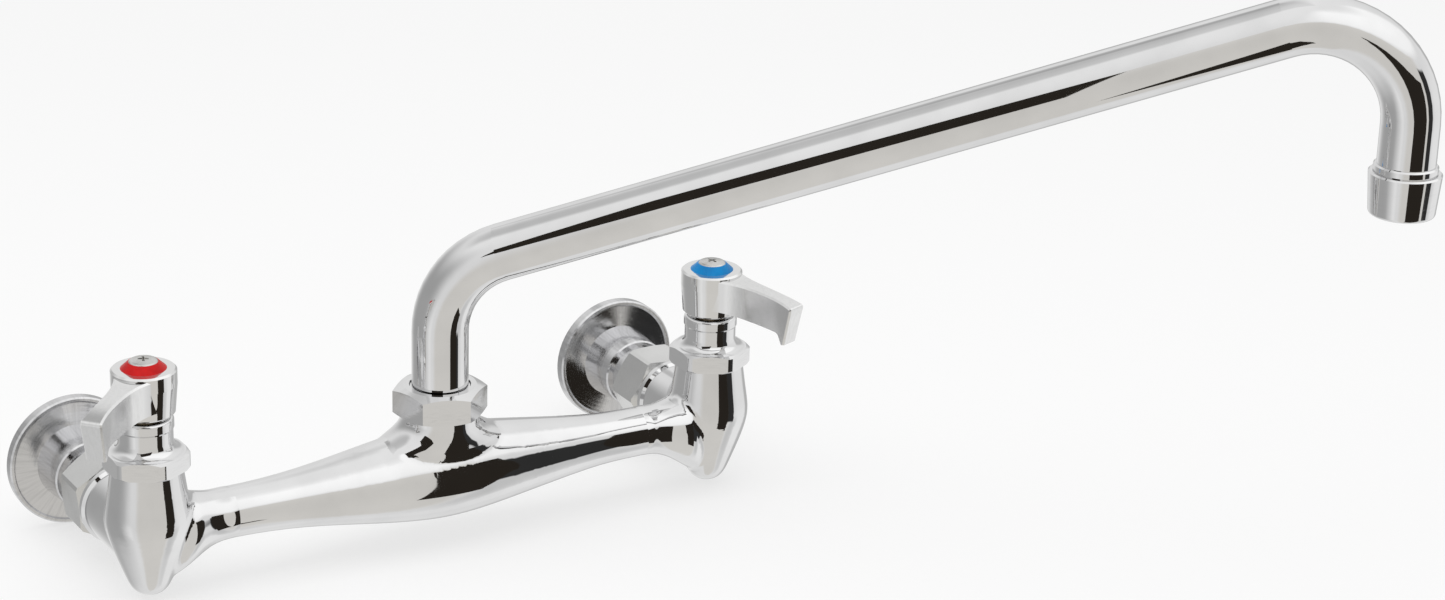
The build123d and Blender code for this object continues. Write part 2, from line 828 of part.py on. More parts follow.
def index_ring(side):
    """Coloured plastic ring with a sloping face, pressed into the top of the handle."""
    hole = screw_shank_radius + free_gap
    recess = screw_head_radius + fit_gap
    return turned(
        standing(valve_x(side)), upright_axis(valve_x(side)),
        (hole, handle_top - ring_spigot_depth),
        (ring_spigot_radius, handle_top - ring_spigot_depth),
        (ring_spigot_radius, handle_top),
        (ring_base_radius, handle_top),
        (ring_top_radius, handle_top + ring_height),
        (recess, handle_top + ring_height),
        (recess, screw_seat()),
        (hole, screw_seat()),
    )


def handle_screw(side):
    """Cross-recessed screw that holds the handle and its index ring."""
    x = valve_x(side)
    seat = screw_seat()
    top = seat + screw_head_height
    with BuildPart() as piece:
        with BuildSketch(standing(x)):
            with BuildLine():
                underside = Polyline(
                    (0, seat - screw_length),
                    (screw_shank_radius - edge_chamfer, seat - screw_length),
                    (screw_shank_radius, seat - screw_length + edge_chamfer),
                    (screw_shank_radius, seat),
                    (screw_head_radius, seat),
                    (screw_head_radius, seat + screw_head_height / 2),
                )
                dome = Spline(underside @ 1, (0, top), tangents=((-0.2, 1), (-1, 0)))
                Line(dome @ 1, underside @ 0)
            make_face()
        revolve(axis=upright_axis(x))
        with BuildSketch(Plane(origin=(x, -valve_reach, top - cross_depth))):
            Rectangle(cross_length, cross_width, rotation=handle_angles[side] + 30)
            Rectangle(cross_width, cross_length, rotation=handle_angles[side] + 30)
        extrude(amount=cross_depth, mode=Mode.SUBTRACT)
    return piece.part


for side in sides:
    x = valve_x(side)
    save(bonnet(side), f"{side}_bonnet")
    save(cartridge_cage(side), f"{side}_cartridge_cage")
    save(ported_disc(side, fixed_disc_bottom, fixed_disc_radius, 0), f"{side}_fixed_disc")
    save(turning_disc(side), f"{side}_turning_disc")
    save(turned(
        standing(x), upright_axis(x),
        (seat_seal_inner, seat_height), (seat_seal_outer, seat_height),
        (seat_seal_outer, fixed_disc_bottom), (seat_seal_inner, fixed_disc_bottom),
    ), f"{side}_seat_seal")
    save(turned(
        standing(x), upright_axis(x),
        (stem_radius + free_gap, cage_socket_top - thrust_washer_thickness),
        (cage_socket_radius - fit_gap, cage_socket_top - thrust_washer_thickness),
        (cage_socket_radius - fit_gap, cage_socket_top),
        (stem_radius + free_gap, cage_socket_top),
    ), f"{side}_thrust_washer")
    save(ring(
        standing(x), upright_axis(x),
        bonnet_undercut_radius + fit_gap + bonnet_ring_section,
        housing_top - chamber_mouth_depth / 2, bonnet_ring_section), f"{side}_bonnet_o_ring")
    save(valve_stem(side), f"{side}_valve_stem")
    save(ring(
        standing(x), upright_axis(x), stem_radius - stem_seal_section, stem_seal_height,
        stem_seal_section), f"{side}_stem_o_ring")
    save(lever_handle(side), f"{side}_lever_handle")
    save(index_ring(side), f"{side}_index_ring")
    save(handle_screw(side), f"{side}_handle_screw")


# ---------------------------------------------------------------- spout

riser_start = ferrule_shoulder_top
corner_rise = spout_reach * tan(radians(spout_slope))
tube_bore = tube_radius - tube_wall

with BuildPart() as spout_tube:
    with BuildLine(standing(0, turn=spout_angle)) as spout_path:
        FilletPolyline(
            (0, riser_start),
            (0, spout_corner_height),
            (spout_reach, spout_corner_height + corner_rise),
            (spout_reach, outlet_end),
            radius=tube_bend_radius,
        )
    with BuildSketch(Plane(origin=(0, -valve_reach, riser_start))):
        Circle(tube_radius)
        Circle(tube_bore, mode=Mode.SUBTRACT)
    sweep()
save(spout_tube.part, "spout_tube")

# ferrule that carries the tube and turns in the body
with BuildPart() as spout_ferrule:
    with BuildSketch(standing(0)):
        with BuildLine():
            plug = spout_bore - fit_gap
            Polyline(
                (ferrule_bore, ferrule_bottom),
                (plug - edge_chamfer, ferrule_bottom),
                (plug, ferrule_bottom + edge_chamfer),
                (plug, ferrule_shoulder_bottom),
                (ferrule_shoulder_radius, ferrule_shoulder_bottom),
                (ferrule_shoulder_radius, ferrule_shoulder_top),
                (tube_radius + ferrule_socket_wall, ferrule_shoulder_top),
                (tube_radius + ferrule_socket_wall, ferrule_socket_top),
                (tube_radius, ferrule_socket_top),
                (tube_radius, ferrule_shoulder_top),
                (tube_bore, ferrule_shoulder_top),
                (tube_bore, ferrule_shoulder_top + ferrule_spigot),
                (ferrule_bore, ferrule_shoulder_top + ferrule_spigot),
                close=True,
            )
        make_face()
    revolve(axis=middle)
    for height in spout_seal_heights:
        groove = plug - 2 * spout_seal_section
        half = spout_seal_section + fit_gap
        with BuildSketch(standing(0)):
            with Locations((plug, height)):
                Rectangle(2 * (plug - groove), 2 * half)
        revolve(axis=middle, mode=Mode.SUBTRACT)
save(spout_ferrule.part, "spout_ferrule")

with BuildPart() as spout_o_rings:
    for height in spout_seal_heights:
        with BuildSketch(standing(0)):
            with Locations((spout_bore - fit_gap - spout_seal_section, height)):
                Circle(spout_seal_section)
        revolve(axis=middle)
save(spout_o_rings.part, "spout_o_rings")

save(turned(
    standing(0), middle,
    (spout_bore + free_gap, nipple_top),
    (nipple_radius - edge_chamfer, nipple_top),
    (nipple_radius - edge_chamfer, nipple_top + slip_washer_thickness),
    (spout_bore + free_gap, nipple_top + slip_washer_thickness),
), "spout_slip_washer")

with BuildPart() as spout_nut:
    corner = spout_nut_flats / sqrt(3)
    flat = spout_nut_flats / 2
    with BuildSketch(Plane(origin=(0, -valve_reach, spout_nut_bottom))):
        with Locations(Rotation(0, 0, spout_nut_turn)):
            hexagon(spout_nut_flats)
    extrude(amount=spout_nut_top - spout_nut_bottom)
    with BuildSketch(standing(0)):
        with BuildLine():
            Polyline(
                (0, spout_nut_bottom),
                (flat, spout_nut_bottom),
                (corner, spout_nut_bottom + spout_nut_chamfer / 2),
                (corner, spout_nut_top - spout_nut_chamfer),
                (flat - spout_nut_chamfer, spout_nut_top),
                (0, spout_nut_top),
                close=True,
            )
        make_face()
    revolve(axis=middle, mode=Mode.INTERSECT)
    with BuildSketch(Plane(origin=(0, -valve_reach, spout_nut_bottom))):
        Circle(spout_nut_hole)
    extrude(amount=spout_nut_top - spout_nut_bottom, mode=Mode.SUBTRACT)
    with BuildSketch(Plane(origin=(0, -valve_reach, spout_nut_bottom))):
        Circle(nipple_radius + thread_gap)
    extrude(amount=spout_nut_top - spout_nut_lip - spout_nut_bottom, mode=Mode.SUBTRACT)
save(spout_nut.part, "spout_nut")


# ---------------------------------------------------------------- outlet

outlet = standing(*outlet_place())
outlet_axis = upright_axis(*outlet_place())
spigot = tube_bore - fit_gap
save(turned(
    outlet, outlet_axis,
    (outlet_bore, outlet_end + outlet_spigot),
    (spigot, outlet_end + outlet_spigot),
    (spigot, outlet_end),
    (outlet_bead_radius - edge_chamfer, outlet_end),
    (outlet_bead_radius, outlet_end - edge_chamfer),
    (outlet_bead_radius, outlet_end - outlet_bead_height),
    (outlet_thread_radius, outlet_end - outlet_bead_height),
    (outlet_thread_radius, outlet_thread_end),
    (outlet_bore, outlet_thread_end),
), "outlet_bushing")

with BuildPart() as aerator_shell:
    with BuildSketch(outlet):
        with BuildLine():
            bore = outlet_thread_radius + thread_gap
            inside = Polyline(
                (aerator_bottom_radius - aerator_rounding, aerator_bottom),
                (aerator_mouth, aerator_bottom),
                (aerator_mouth, aerator_bottom + aerator_floor),
                (bore, aerator_bottom + aerator_floor),
                (bore, aerator_top),
                (aerator_top_radius - edge_chamfer, aerator_top),
                (aerator_top_radius, aerator_top - edge_chamfer),
                (aerator_bottom_radius, aerator_bottom + aerator_rounding),
            )
            RadiusArc(inside @ 1, inside @ 0, aerator_rounding)
        make_face()
    revolve(axis=outlet_axis)
save(aerator_shell.part, "aerator_shell")

insert_bottom = aerator_bottom + aerator_floor
insert_top = outlet_thread_end - aerator_washer_thickness
with BuildPart() as aerator_insert:
    with BuildSketch(Plane(origin=(*outlet_place(), insert_bottom))):
        Circle(insert_radius)
    extrude(amount=insert_top - insert_bottom)
    with BuildSketch(Plane(origin=(*outlet_place(), insert_bottom))):
        with PolarLocations(insert_outer_row, insert_holes):
            Circle(insert_hole_radius)
        with PolarLocations(insert_inner_row, insert_holes // 2):
            Circle(insert_hole_radius)
    extrude(amount=insert_top - insert_bottom, mode=Mode.SUBTRACT)
save(aerator_insert.part, "aerator_insert")

save(turned(
    outlet, outlet_axis,
    (outlet_bore, insert_top), (insert_radius, insert_top),
    (insert_radius, outlet_thread_end), (outlet_bore, outlet_thread_end),
), "aerator_washer")
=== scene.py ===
"""Looks of a commercial wall faucet, built round its fixed CAD frame.

The wall is the plane Y = 0, the faucet stands out of it towards -Y and +X is the cold side.
Lengths are in metres.
"""
import logging
import math
from abc import ABC, abstractmethod
from dataclasses import dataclass
from enum import Enum
from functools import cached_property
from typing import Callable, ClassVar, Mapping, Sequence, Union

import bpy
from mathutils import Matrix, Vector


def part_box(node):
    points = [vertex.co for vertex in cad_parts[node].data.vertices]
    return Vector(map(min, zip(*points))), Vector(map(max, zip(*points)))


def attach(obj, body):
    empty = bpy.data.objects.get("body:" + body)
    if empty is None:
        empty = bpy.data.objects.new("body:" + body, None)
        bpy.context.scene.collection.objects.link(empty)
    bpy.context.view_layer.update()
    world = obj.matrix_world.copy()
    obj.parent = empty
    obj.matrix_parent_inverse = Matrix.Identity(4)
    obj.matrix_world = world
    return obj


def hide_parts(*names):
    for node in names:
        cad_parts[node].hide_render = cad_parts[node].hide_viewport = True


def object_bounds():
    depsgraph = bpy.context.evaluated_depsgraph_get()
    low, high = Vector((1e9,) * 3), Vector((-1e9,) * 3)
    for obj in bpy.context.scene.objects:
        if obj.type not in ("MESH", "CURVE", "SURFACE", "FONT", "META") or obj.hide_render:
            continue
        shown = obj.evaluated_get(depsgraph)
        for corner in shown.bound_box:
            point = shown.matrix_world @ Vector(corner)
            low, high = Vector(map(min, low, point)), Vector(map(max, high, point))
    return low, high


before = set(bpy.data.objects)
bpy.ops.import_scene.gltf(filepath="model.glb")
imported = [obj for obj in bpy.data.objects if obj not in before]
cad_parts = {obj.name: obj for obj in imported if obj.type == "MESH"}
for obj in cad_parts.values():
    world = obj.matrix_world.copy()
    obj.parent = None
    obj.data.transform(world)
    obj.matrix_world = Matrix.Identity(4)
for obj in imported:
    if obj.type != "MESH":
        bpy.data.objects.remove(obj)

CAD_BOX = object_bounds()
MM = 0.001
# A face past this share of the way to an end belongs to that end.
NEARLY = 0.99
WHITE = (1.0, 1.0, 1.0, 1.0)
log = logging.getLogger("faucet")

Triple = tuple[float, float, float]
Range = tuple[float, float]
Socket = Union[str, int]
Operand = Union["Signal", float]
Value = Union["Signal", float, Sequence[float]]


# ---------------------------------------------------------------- shader graphs


class Signal:
    """One output of a shader graph. Arithmetic on it adds Math nodes."""

    def __init__(self, graph: "Graph", socket: bpy.types.NodeSocket) -> None:
        """Wraps a socket.

        Args:
            graph: The graph that the socket belongs to.
            socket: The output socket.
        """
        self.graph = graph
        self.socket = socket

    def maths(self, operation: str, *operands: Operand) -> "Signal":
        """Adds one Math node.

        Args:
            operation: The Math node's operation.
            operands: Its inputs in order, signals or numbers.

        Returns:
            The node's result.
        """
        return self.graph.node("ShaderNodeMath", {"operation": operation}, dict(enumerate(operands)))

    def __add__(self, other: Operand) -> "Signal":
        """Sum."""
        return self.maths("ADD", self, other)

    def __radd__(self, other: float) -> "Signal":
        """Sum with a number on the left."""
        return self.maths("ADD", other, self)

    def __sub__(self, other: Operand) -> "Signal":
        """Difference."""
        return self.maths("SUBTRACT", self, other)

    def __rsub__(self, other: float) -> "Signal":
        """Difference from a number on the left."""
        return self.maths("SUBTRACT", other, self)

    def __mul__(self, other: Operand) -> "Signal":
        """Product."""
        return self.maths("MULTIPLY", self, other)

    def __rmul__(self, other: float) -> "Signal":
        """Product with a number on the left."""
        return self.maths("MULTIPLY", other, self)

    def __truediv__(self, other: Operand) -> "Signal":
        """Quotient."""
        return self.maths("DIVIDE", self, other)

    def __rtruediv__(self, other: float) -> "Signal":
        """Quotient with a number on the left."""
        return self.maths("DIVIDE", other, self)

    def __pow__(self, other: Operand) -> "Signal":
        """Power."""
        return self.maths("POWER", self, other)

    def __rpow__(self, other: float) -> "Signal":
        """Power of a number on the left."""
        return self.maths("POWER", other, self)

    def ramp(self, low: float, high: float, start: float = 0.0, end: float = 1.0) -> "Signal":
        """Smooth step from one value to another.

        Args:
            low: Where the step begins.
            high: Where it ends.
            start: The value up to low.
            end: The value from high on.

        Returns:
            The stepped signal.
        """
        return self.graph.node(
            "ShaderNodeMapRange",
            {"interpolation_type": "SMOOTHSTEP", "clamp": True},
            {"Value": self, "From Min": low, "From Max": high, "To Min": start, "To Max": end},
        )

    def between(self, low: float, high: float, soft: float) -> "Signal":
        """One inside a range and nought outside it.

        Args:
            low: The range's lower end.
            high: The range's upper end.
            soft: Width over which each end fades.

        Returns:
            The mask.
        """
        rise = self.ramp(low - soft / 2, low + soft / 2)
        fall = self.ramp(high - soft / 2, high + soft / 2, 1.0, 0.0)
        return rise * fall


class Graph:
    """Node tree of a material or of the world.

    A Mix node gives one name to its sockets for numbers, vectors and colours, so those for colours
    go by number.
    """

    MIX_INPUTS: ClassVar[tuple[int, int, int]] = (0, 6, 7)
    MIX_OUTPUT: ClassVar[int] = 2

    def __init__(self, owner: bpy.types.ID) -> None:
        """Empties the owner's node tree.

        Args:
            owner: A material or a world.
        """
        owner.use_nodes = True
        self.tree = owner.node_tree
        self.tree.nodes.clear()

    def node(self, kind: str, settings: Mapping[str, object] | None = None,
             inputs: Mapping[Socket, Value] | None = None, output: Socket = 0) -> Signal:
        """Adds a node.

        Args:
            kind: The node's type name.
            settings: Its own settings.
            inputs: Values or signals by socket name or number.
            output: Name or number of the output that is returned.

        Returns:
            The asked output as a signal.
        """
        made = self.tree.nodes.new(kind)
        for name, setting in (settings or {}).items():
            setattr(made, name, setting)
        for name, value in (inputs or {}).items():
            socket = made.inputs[name]
            if isinstance(value, Signal):
                self.tree.links.new(value.socket, socket)
            else:
                socket.default_value = value
        chosen = made.outputs[output] if len(made.outputs) else None
        return Signal(self, chosen)

    def place(self, centre: Triple = (0.0, 0.0, 0.0), stretch: Triple = (1.0, 1.0, 1.0)) -> Signal:
        """Object coordinates, centred and stretched.

        Args:
            centre: The point that becomes the origin.
            stretch: Scale along each axis after that.

        Returns:
            The coordinates.
        """
        object_place = self.node("ShaderNodeTexCoord", output="Object")
        shifted = self.node("ShaderNodeVectorMath", {"operation": "SUBTRACT"}, {0: object_place, 1: centre})
        return self.node("ShaderNodeVectorMath", {"operation": "MULTIPLY"}, {0: shifted, 1: stretch})

    def join(self, first: Operand, second: Operand, third: Operand) -> Signal:
        """One vector of three parts."""
        return self.node("ShaderNodeCombineXYZ", inputs={0: first, 1: second, 2: third})

    def split(self, vector: Signal) -> tuple[Signal, Signal, Signal]:
        """The three parts of a vector."""
        parts = self.node("ShaderNodeSeparateXYZ", inputs={0: vector}).socket.node
        return tuple(Signal(self, socket) for socket in parts.outputs)

    def noise(self, vector: Signal, scale: float, detail: float, rough: float = 0.5) -> Signal:
        """Noise from 0 to 1.

        Args:
            vector: Where it is read.
            scale: Features per unit of the vector, which is a metre where it isn't stretched.
            detail: Octaves.
            rough: Strength of the fine octaves.

        Returns:
            The noise.
        """
        return self.node("ShaderNodeTexNoise", inputs={
            "Vector": vector, "Scale": scale, "Detail": detail, "Roughness": rough})

    def mix(self, factor: Operand, first: Value, second: Value) -> Signal:
        """Mixes two colours.

        Args:
            factor: Share of the second.
            first: A colour or signal.
            second: A colour or signal.

        Returns:
            The mixed colour.
        """
        inputs = dict(zip(self.MIX_INPUTS, (factor, first, second)))
        return self.node("ShaderNodeMix", {"data_type": "RGBA"}, inputs, self.MIX_OUTPUT)

    def bump(self, height: Signal, depth: float) -> Signal:
        """Bends the normal.

        Args:
            height: Height from 0 to 1.
            depth: Depth of a full step, in metres.

        Returns:
            The bent normal.
        """
        return self.node("ShaderNodeBump", inputs={"Distance": depth, "Height": height}, output="Normal")

    def ray(self, kind: str) -> Signal:
        """One for rays of a kind and nought for others."""
        return self.node("ShaderNodeLightPath", output=kind)

    def background(self, colour: Value, strength: float = 1.0) -> Signal:
        """A world's light of one colour and strength."""
        return self.node("ShaderNodeBackground", inputs={"Color": colour, "Strength": strength})

    def mix_shaders(self, factor: Signal, first: Signal, second: Signal) -> Signal:
        """Mixes two shaders by the second's share."""
        return self.node("ShaderNodeMixShader", inputs={0: factor, 1: first, 2: second})

    def end(self, shader: Signal, kind: str = "ShaderNodeOutputMaterial") -> None:
        """Ends the tree in a shader.

        Args:
            shader: The shader.
            kind: Type name of the output node.
        """
        self.node(kind, inputs={"Surface": shader})

    def surface(self, **inputs: Value) -> None:
        """Ends a material in one Principled BSDF.

        Args:
            inputs: Values or signals by socket name, with _ for a blank.
        """
        named = {name.replace("_", " "): value for name, value in inputs.items()}
        self.end(self.node("ShaderNodeBsdfPrincipled", inputs=named))


def opaque(colour: Triple, share: float = 1.0) -> tuple[float, float, float, float]:
    """A share of a colour, with full alpha."""
    return (*(share * part for part in colour), 1.0)


# ---------------------------------------------------------------- finishes


class Axis(Enum):
    """Axis that a piece was turned about, given by the numbers of the two coordinates across it."""

    LYING = (0, 2)
    UPRIGHT = (0, 1)

    @property
    def along(self) -> int:
        """Number of the coordinate along it."""
        return 3 - sum(self.value)

    def through(self, node: str) -> Triple:
        """A point on the axis through the middle of a node's box, at nought along it.

        Args:
            node: Name of a CAD node.

        Returns:
            The point.
        """
        low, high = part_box(node)
        return tuple((low[part] + high[part]) / 2 if part in self.value else 0.0 for part in range(3))


@dataclass(frozen=True)
class Finish(ABC):
    """A finish of one or more pieces.

    Attributes:
        name: The material's name.
    """

    name: str

    def make(self) -> bpy.types.Material:
        """Makes the finish's material.

        Returns:
            The material.
        """
        material = bpy.data.materials.new(self.name)
        self.lay(Graph(material))
        return material

    @abstractmethod
    def lay(self, graph: Graph) -> None:
        """Fills a material's node tree.

        Args:
            graph: The tree.
        """


@dataclass(frozen=True)
class Chrome(Finish):
    """Polished chrome plate over a casting or a tube.

    Attributes:
        colour: Reflected colour.
        roughness: Mean roughness.
        wave: Height of the slow waves that polishing leaves.
        waves: Slow waves per metre.
        haze: How much roughness the fine polishing haze adds.
        grain: Grains of the haze per metre.
        grain_stretch: Scale of the grain along each axis.
        hazy_grain: Noise between which the grain rises.
        clouds: Clouds of the haze per metre.
        hazy_clouds: Noise between which the haze rises.
        dull_clouds: Noise between which the colour dulls.
        dull: Share of the colour that is left where it is dull.
    """

    colour: Triple = (0.80, 0.80, 0.805)
    roughness: float = 0.035
    wave: float = 0.00007
    waves: float = 45.0
    haze: float = 0.05
    grain: float = 900.0
    grain_stretch: Triple = (1.0, 1.0, 0.25)
    hazy_grain: Range = (0.45, 0.8)
    clouds: float = 70.0
    hazy_clouds: Range = (0.35, 0.75)
    dull_clouds: Range = (0.3, 0.8)
    dull: float = 0.93

    def lay(self, graph: Graph) -> None:
        """Fills a material's node tree.

        Args:
            graph: The tree.
        """
        place = graph.place()
        slow = graph.noise(place, self.waves, detail=1.0)
        fine = graph.noise(graph.place(stretch=self.grain_stretch), self.grain, detail=4.0, rough=0.65)
        cloud = graph.noise(place, self.clouds, detail=3.0)
        haze = fine.ramp(*self.hazy_grain) * cloud.ramp(*self.hazy_clouds) * self.haze
        graph.surface(
            Base_Color=graph.mix(
                cloud.ramp(*self.dull_clouds), opaque(self.colour), opaque(self.colour, self.dull)),
            Metallic=1.0,
            Roughness=haze + self.roughness,
            Normal=graph.bump(slow, self.wave),
        )


@dataclass(frozen=True)
class TurnedChrome(Finish):
    """Chrome plate over a turned piece, with faint rings from the lathe and streaked sectors across them,
    which add roughness and darken the colour as a painted reflection.

    Attributes:
        axis: The axis of turning.
        centre: A point on it.
        colour: Reflected colour.
        roughness: Mean roughness.
        rings: Rings per metre of radius and length.
        clear_rings: Noise between which the rings rise.
        ring_haze: Roughness that the rings add.
        relief: Height of the rings.
        band: Width of the bands in which rings show, in rings.
        clear_bands: Noise between which the bands rise.
        clouds: Clouds per metre in which rings show.
        clear_clouds: Noise between which the clouds rise.
        streaks_and_painted_reflection: How much the streaked sectors add roughness and darken the colour; the
            darkening is a painted reflection of the dark sectors that turned rings show.
        streak_scale: Streaks per radian, and per metre of radius and of length.
        clear_streaks: Noise between which the streaked sectors rise.
        streak_haze: Roughness that the streaks add.
        dull: Share of the colour that is left on the rings.
        dark: Share of the colour that is left in a full streaked sector, where the painted reflection is
            darkest.
    """

    axis: Axis
    centre: Triple
    colour: Triple = (0.79, 0.79, 0.795)
    roughness: float = 0.04
    rings: float = 1100.0
    clear_rings: Range = (0.4, 0.7)
    ring_haze: float = 0.10
    relief: float = 0.000006
    band: float = 6.0
    clear_bands: Range = (0.35, 0.7)
    clouds: float = 90.0
    clear_clouds: Range = (0.3, 0.7)
    streaks_and_painted_reflection: float = 0.0
    streak_scale: Triple = (16.0, 60.0, 30.0)
    clear_streaks: Range = (0.4, 0.7)
    streak_haze: float = 0.08
    dull: float = 0.90
    dark: float = 0.35

    def lay(self, graph: Graph) -> None:
        """Fills a material's node tree.

        Args:
            graph: The tree.
        """
        place = graph.place(self.centre)
        parts = graph.split(place)
        first, second = (parts[index] for index in self.axis.value)
        along = parts[self.axis.along]
        radius = (first * first + second * second) ** 0.5
        turn = second.maths("ARCTAN2", second, first)
        profile = graph.join(radius, along, 0.0)
        rings = graph.noise(profile, self.rings, detail=3.0, rough=0.6)
        bands = graph.noise(profile, self.rings / self.band, detail=1.0)
        cloud = graph.noise(place, self.clouds, detail=2.0)
        marks = rings.ramp(*self.clear_rings) * bands.ramp(*self.clear_bands) * cloud.ramp(*self.clear_clouds)
        around = graph.join(*(part * scale for part, scale in zip((turn, radius, along), self.streak_scale)))
        # Streaked sectors that add roughness and darken the colour; the darkening is a painted reflection of
        # the dark sectors that turned rings show.
        streak_and_painted_reflection = graph.noise(around, 1.0, detail=4.0, rough=0.6).ramp(*self.clear_streaks) * self.streaks_and_painted_reflection
        ringed = graph.mix(marks, opaque(self.colour), opaque(self.colour, self.dull))
        graph.surface(
            Base_Color=graph.mix(streak_and_painted_reflection, ringed, opaque(self.colour, self.dark)),
            Metallic=1.0,
            Roughness=marks * self.ring_haze + streak_and_painted_reflection * self.streak_haze + self.roughness,
            Normal=graph.bump(rings, self.relief),
        )


@dataclass(frozen=True)
class LeverChrome(Finish):
    """Chrome plate over a lever: its hub is polished, its arm is satin.

    Attributes:
        axis: A point on the hub's axis.
        hub: Radius where the hub ends.
        fade: Width over which the polish turns satin.
        colour: Reflected colour.
        roughness: Roughness of the hub.
        satin: Roughness of the arm.
        wave: Height of the slow waves that polishing leaves.
        waves: Slow waves per metre.
        grain: Grains of the satin per metre.
        grain_stretch: Scale of the grain along each axis.
        dull_grain: Noise between which the colour dulls.
        dull: Share of the colour that is left where it is dull.
        hazy_grain: Noise between which the grain adds roughness.
        haze: Roughness that the grain adds.
    """

    axis: Triple
    hub: float = 11.0 * MM
    fade: float = 3.0 * MM
    colour: Triple = (0.80, 0.80, 0.80)
    roughness: float = 0.035
    satin: float = 0.15
    wave: float = 0.00003
    waves: float = 60.0
    grain: float = 1100.0
    grain_stretch: Triple = (1.0, 1.0, 0.3)
    dull_grain: Range = (0.3, 0.8)
    dull: float = 0.92
    hazy_grain: Range = (0.5, 0.8)
    haze: float = 0.04

    def lay(self, graph: Graph) -> None:
        """Fills a material's node tree.

        Args:
            graph: The tree.
        """
        place = graph.place(self.axis)
        across, deep, _ = graph.split(place)
        reach = (across * across + deep * deep) ** 0.5
        arm = reach.ramp(self.hub, self.hub + self.fade)
        slow = graph.noise(place, self.waves, detail=1.0)
        fine = graph.noise(graph.place(stretch=self.grain_stretch), self.grain, detail=4.0, rough=0.65)
        haze = fine.ramp(*self.hazy_grain) * self.haze
        graph.surface(
            Base_Color=graph.mix(
                arm * fine.ramp(*self.dull_grain), opaque(self.colour), opaque(self.colour, self.dull)),
            Metallic=1.0,
            Roughness=arm * (self.satin - self.roughness) + haze + self.roughness,
            Normal=graph.bump(slow, self.wave),
        )


@dataclass(frozen=True)
class BareMetal(Finish):
    """Bare machined metal: brass or stainless steel.

    Attributes:
        colour: Reflected colour.
        stain: Colour where it has dulled.
        roughness: Mean roughness.
        spread: How far the roughness varies, from least to most.
        stains: Stains per metre.
        clear_stains: Noise between which the stains rise.
        grain: Tool marks per metre.
        grain_stretch: Scale of the tool marks along each axis.
        relief: Height of the tool marks.
    """

    colour: Triple
    stain: Triple
    roughness: float = 0.22
    spread: float = 0.16
    stains: float = 220.0
    clear_stains: Range = (0.35, 0.8)
    grain: float = 1500.0
    grain_stretch: Triple = (1.0, 1.0, 8.0)
    relief: float = 0.000012

    def lay(self, graph: Graph) -> None:
        """Fills a material's node tree.

        Args:
            graph: The tree.
        """
        cloud = graph.noise(graph.place(), self.stains, detail=3.0)
        grain = graph.noise(graph.place(stretch=self.grain_stretch), self.grain, detail=3.0, rough=0.7)
        graph.surface(
            Base_Color=graph.mix(cloud.ramp(*self.clear_stains), opaque(self.colour), opaque(self.stain)),
            Metallic=1.0,
            Roughness=grain * self.spread + (self.roughness - self.spread / 2),
            Normal=graph.bump(grain, self.relief),
        )


@dataclass(frozen=True)
class Moulded(Finish):
    """Moulded plastic, rubber, pressed fibre or lapped ceramic.

    Attributes:
        colour: Its colour.
        tone: Colour of its darker patches.
        roughness: Mean roughness.
        spread: How far the roughness varies, from least to most.
        tones: Darker patches per metre.
        clear_tones: Noise between which the patches rise.
        grain: Grains of its surface per metre.
        relief: Height of the grain.
        gloss: Coat weight.
        gloss_roughness: Roughness of the coat.
        shine: Specular level.
    """

    colour: Triple
    tone: Triple
    roughness: float
    spread: float = 0.12
    tones: float = 260.0
    clear_tones: Range = (0.3, 0.75)
    grain: float = 1800.0
    relief: float = 0.00002
    gloss: float = 0.0
    gloss_roughness: float = 0.08
    shine: float = 0.5

    def lay(self, graph: Graph) -> None:
        """Fills a material's node tree.

        Args:
            graph: The tree.
        """
        place = graph.place()
        grain = graph.noise(place, self.grain, detail=3.0)
        cloud = graph.noise(place, self.tones, detail=2.0)
        graph.surface(
            Base_Color=graph.mix(cloud.ramp(*self.clear_tones), opaque(self.colour), opaque(self.tone)),
            Roughness=grain * self.spread + (self.roughness - self.spread / 2),
            Coat_Weight=self.gloss,
            Coat_Roughness=self.gloss_roughness,
            Specular_IOR_Level=self.shine,
            Normal=graph.bump(grain, self.relief),
        )


class Stock(Enum):
    """Finishes that several pieces share."""

    CAST_CHROME = Chrome("chrome_over_casting")
    SATIN_CHROME = Chrome("chrome_over_hexagon", (0.74, 0.74, 0.735), roughness=0.2, wave=0.00003, haze=0.10)
    TUBE_CHROME = Chrome("chrome_over_tube", roughness=0.03, wave=0.00005, waves=30.0, haze=0.03)
    BRASS = BareMetal("machined_brass", (0.78, 0.58, 0.29), (0.55, 0.37, 0.17))
    # Brass darkened nearly to black: painted shade for the gap under the lever, where the valve stem shows.
    PAINTED_SHADE_BRASS = BareMetal("brass_darkened_as_painted_shade", (0.16, 0.13, 0.09), (0.08, 0.065, 0.05), 0.35)
    STAINLESS = BareMetal("turned_stainless", (0.66, 0.66, 0.65), (0.50, 0.49, 0.47), 0.2)
    RED_PLASTIC = Moulded(
        "red_index_plastic", (0.62, 0.004, 0.004), (0.48, 0.003, 0.004), 0.34, gloss=0.03, shine=0.2)
    BLUE_PLASTIC = Moulded(
        "blue_index_plastic", (0.0, 0.24, 0.60), (0.0, 0.19, 0.50), 0.34, gloss=0.03, shine=0.2)
    RUBBER = Moulded("black_rubber", (0.035, 0.035, 0.037), (0.055, 0.054, 0.052), 0.6)
    FIBRE = Moulded("red_fibre", (0.36, 0.10, 0.06), (0.24, 0.07, 0.05), 0.75, grain=900.0, relief=0.0001)
    NYLON = Moulded("white_nylon", (0.82, 0.82, 0.78), (0.74, 0.74, 0.69), 0.42)
    CERAMIC = Moulded("lapped_ceramic", (0.88, 0.87, 0.84), (0.82, 0.80, 0.76), 0.2, gloss=0.3)

    @cached_property
    def material(self) -> bpy.types.Material:
        """Its material, made when it is first asked for."""
        return self.value.make()


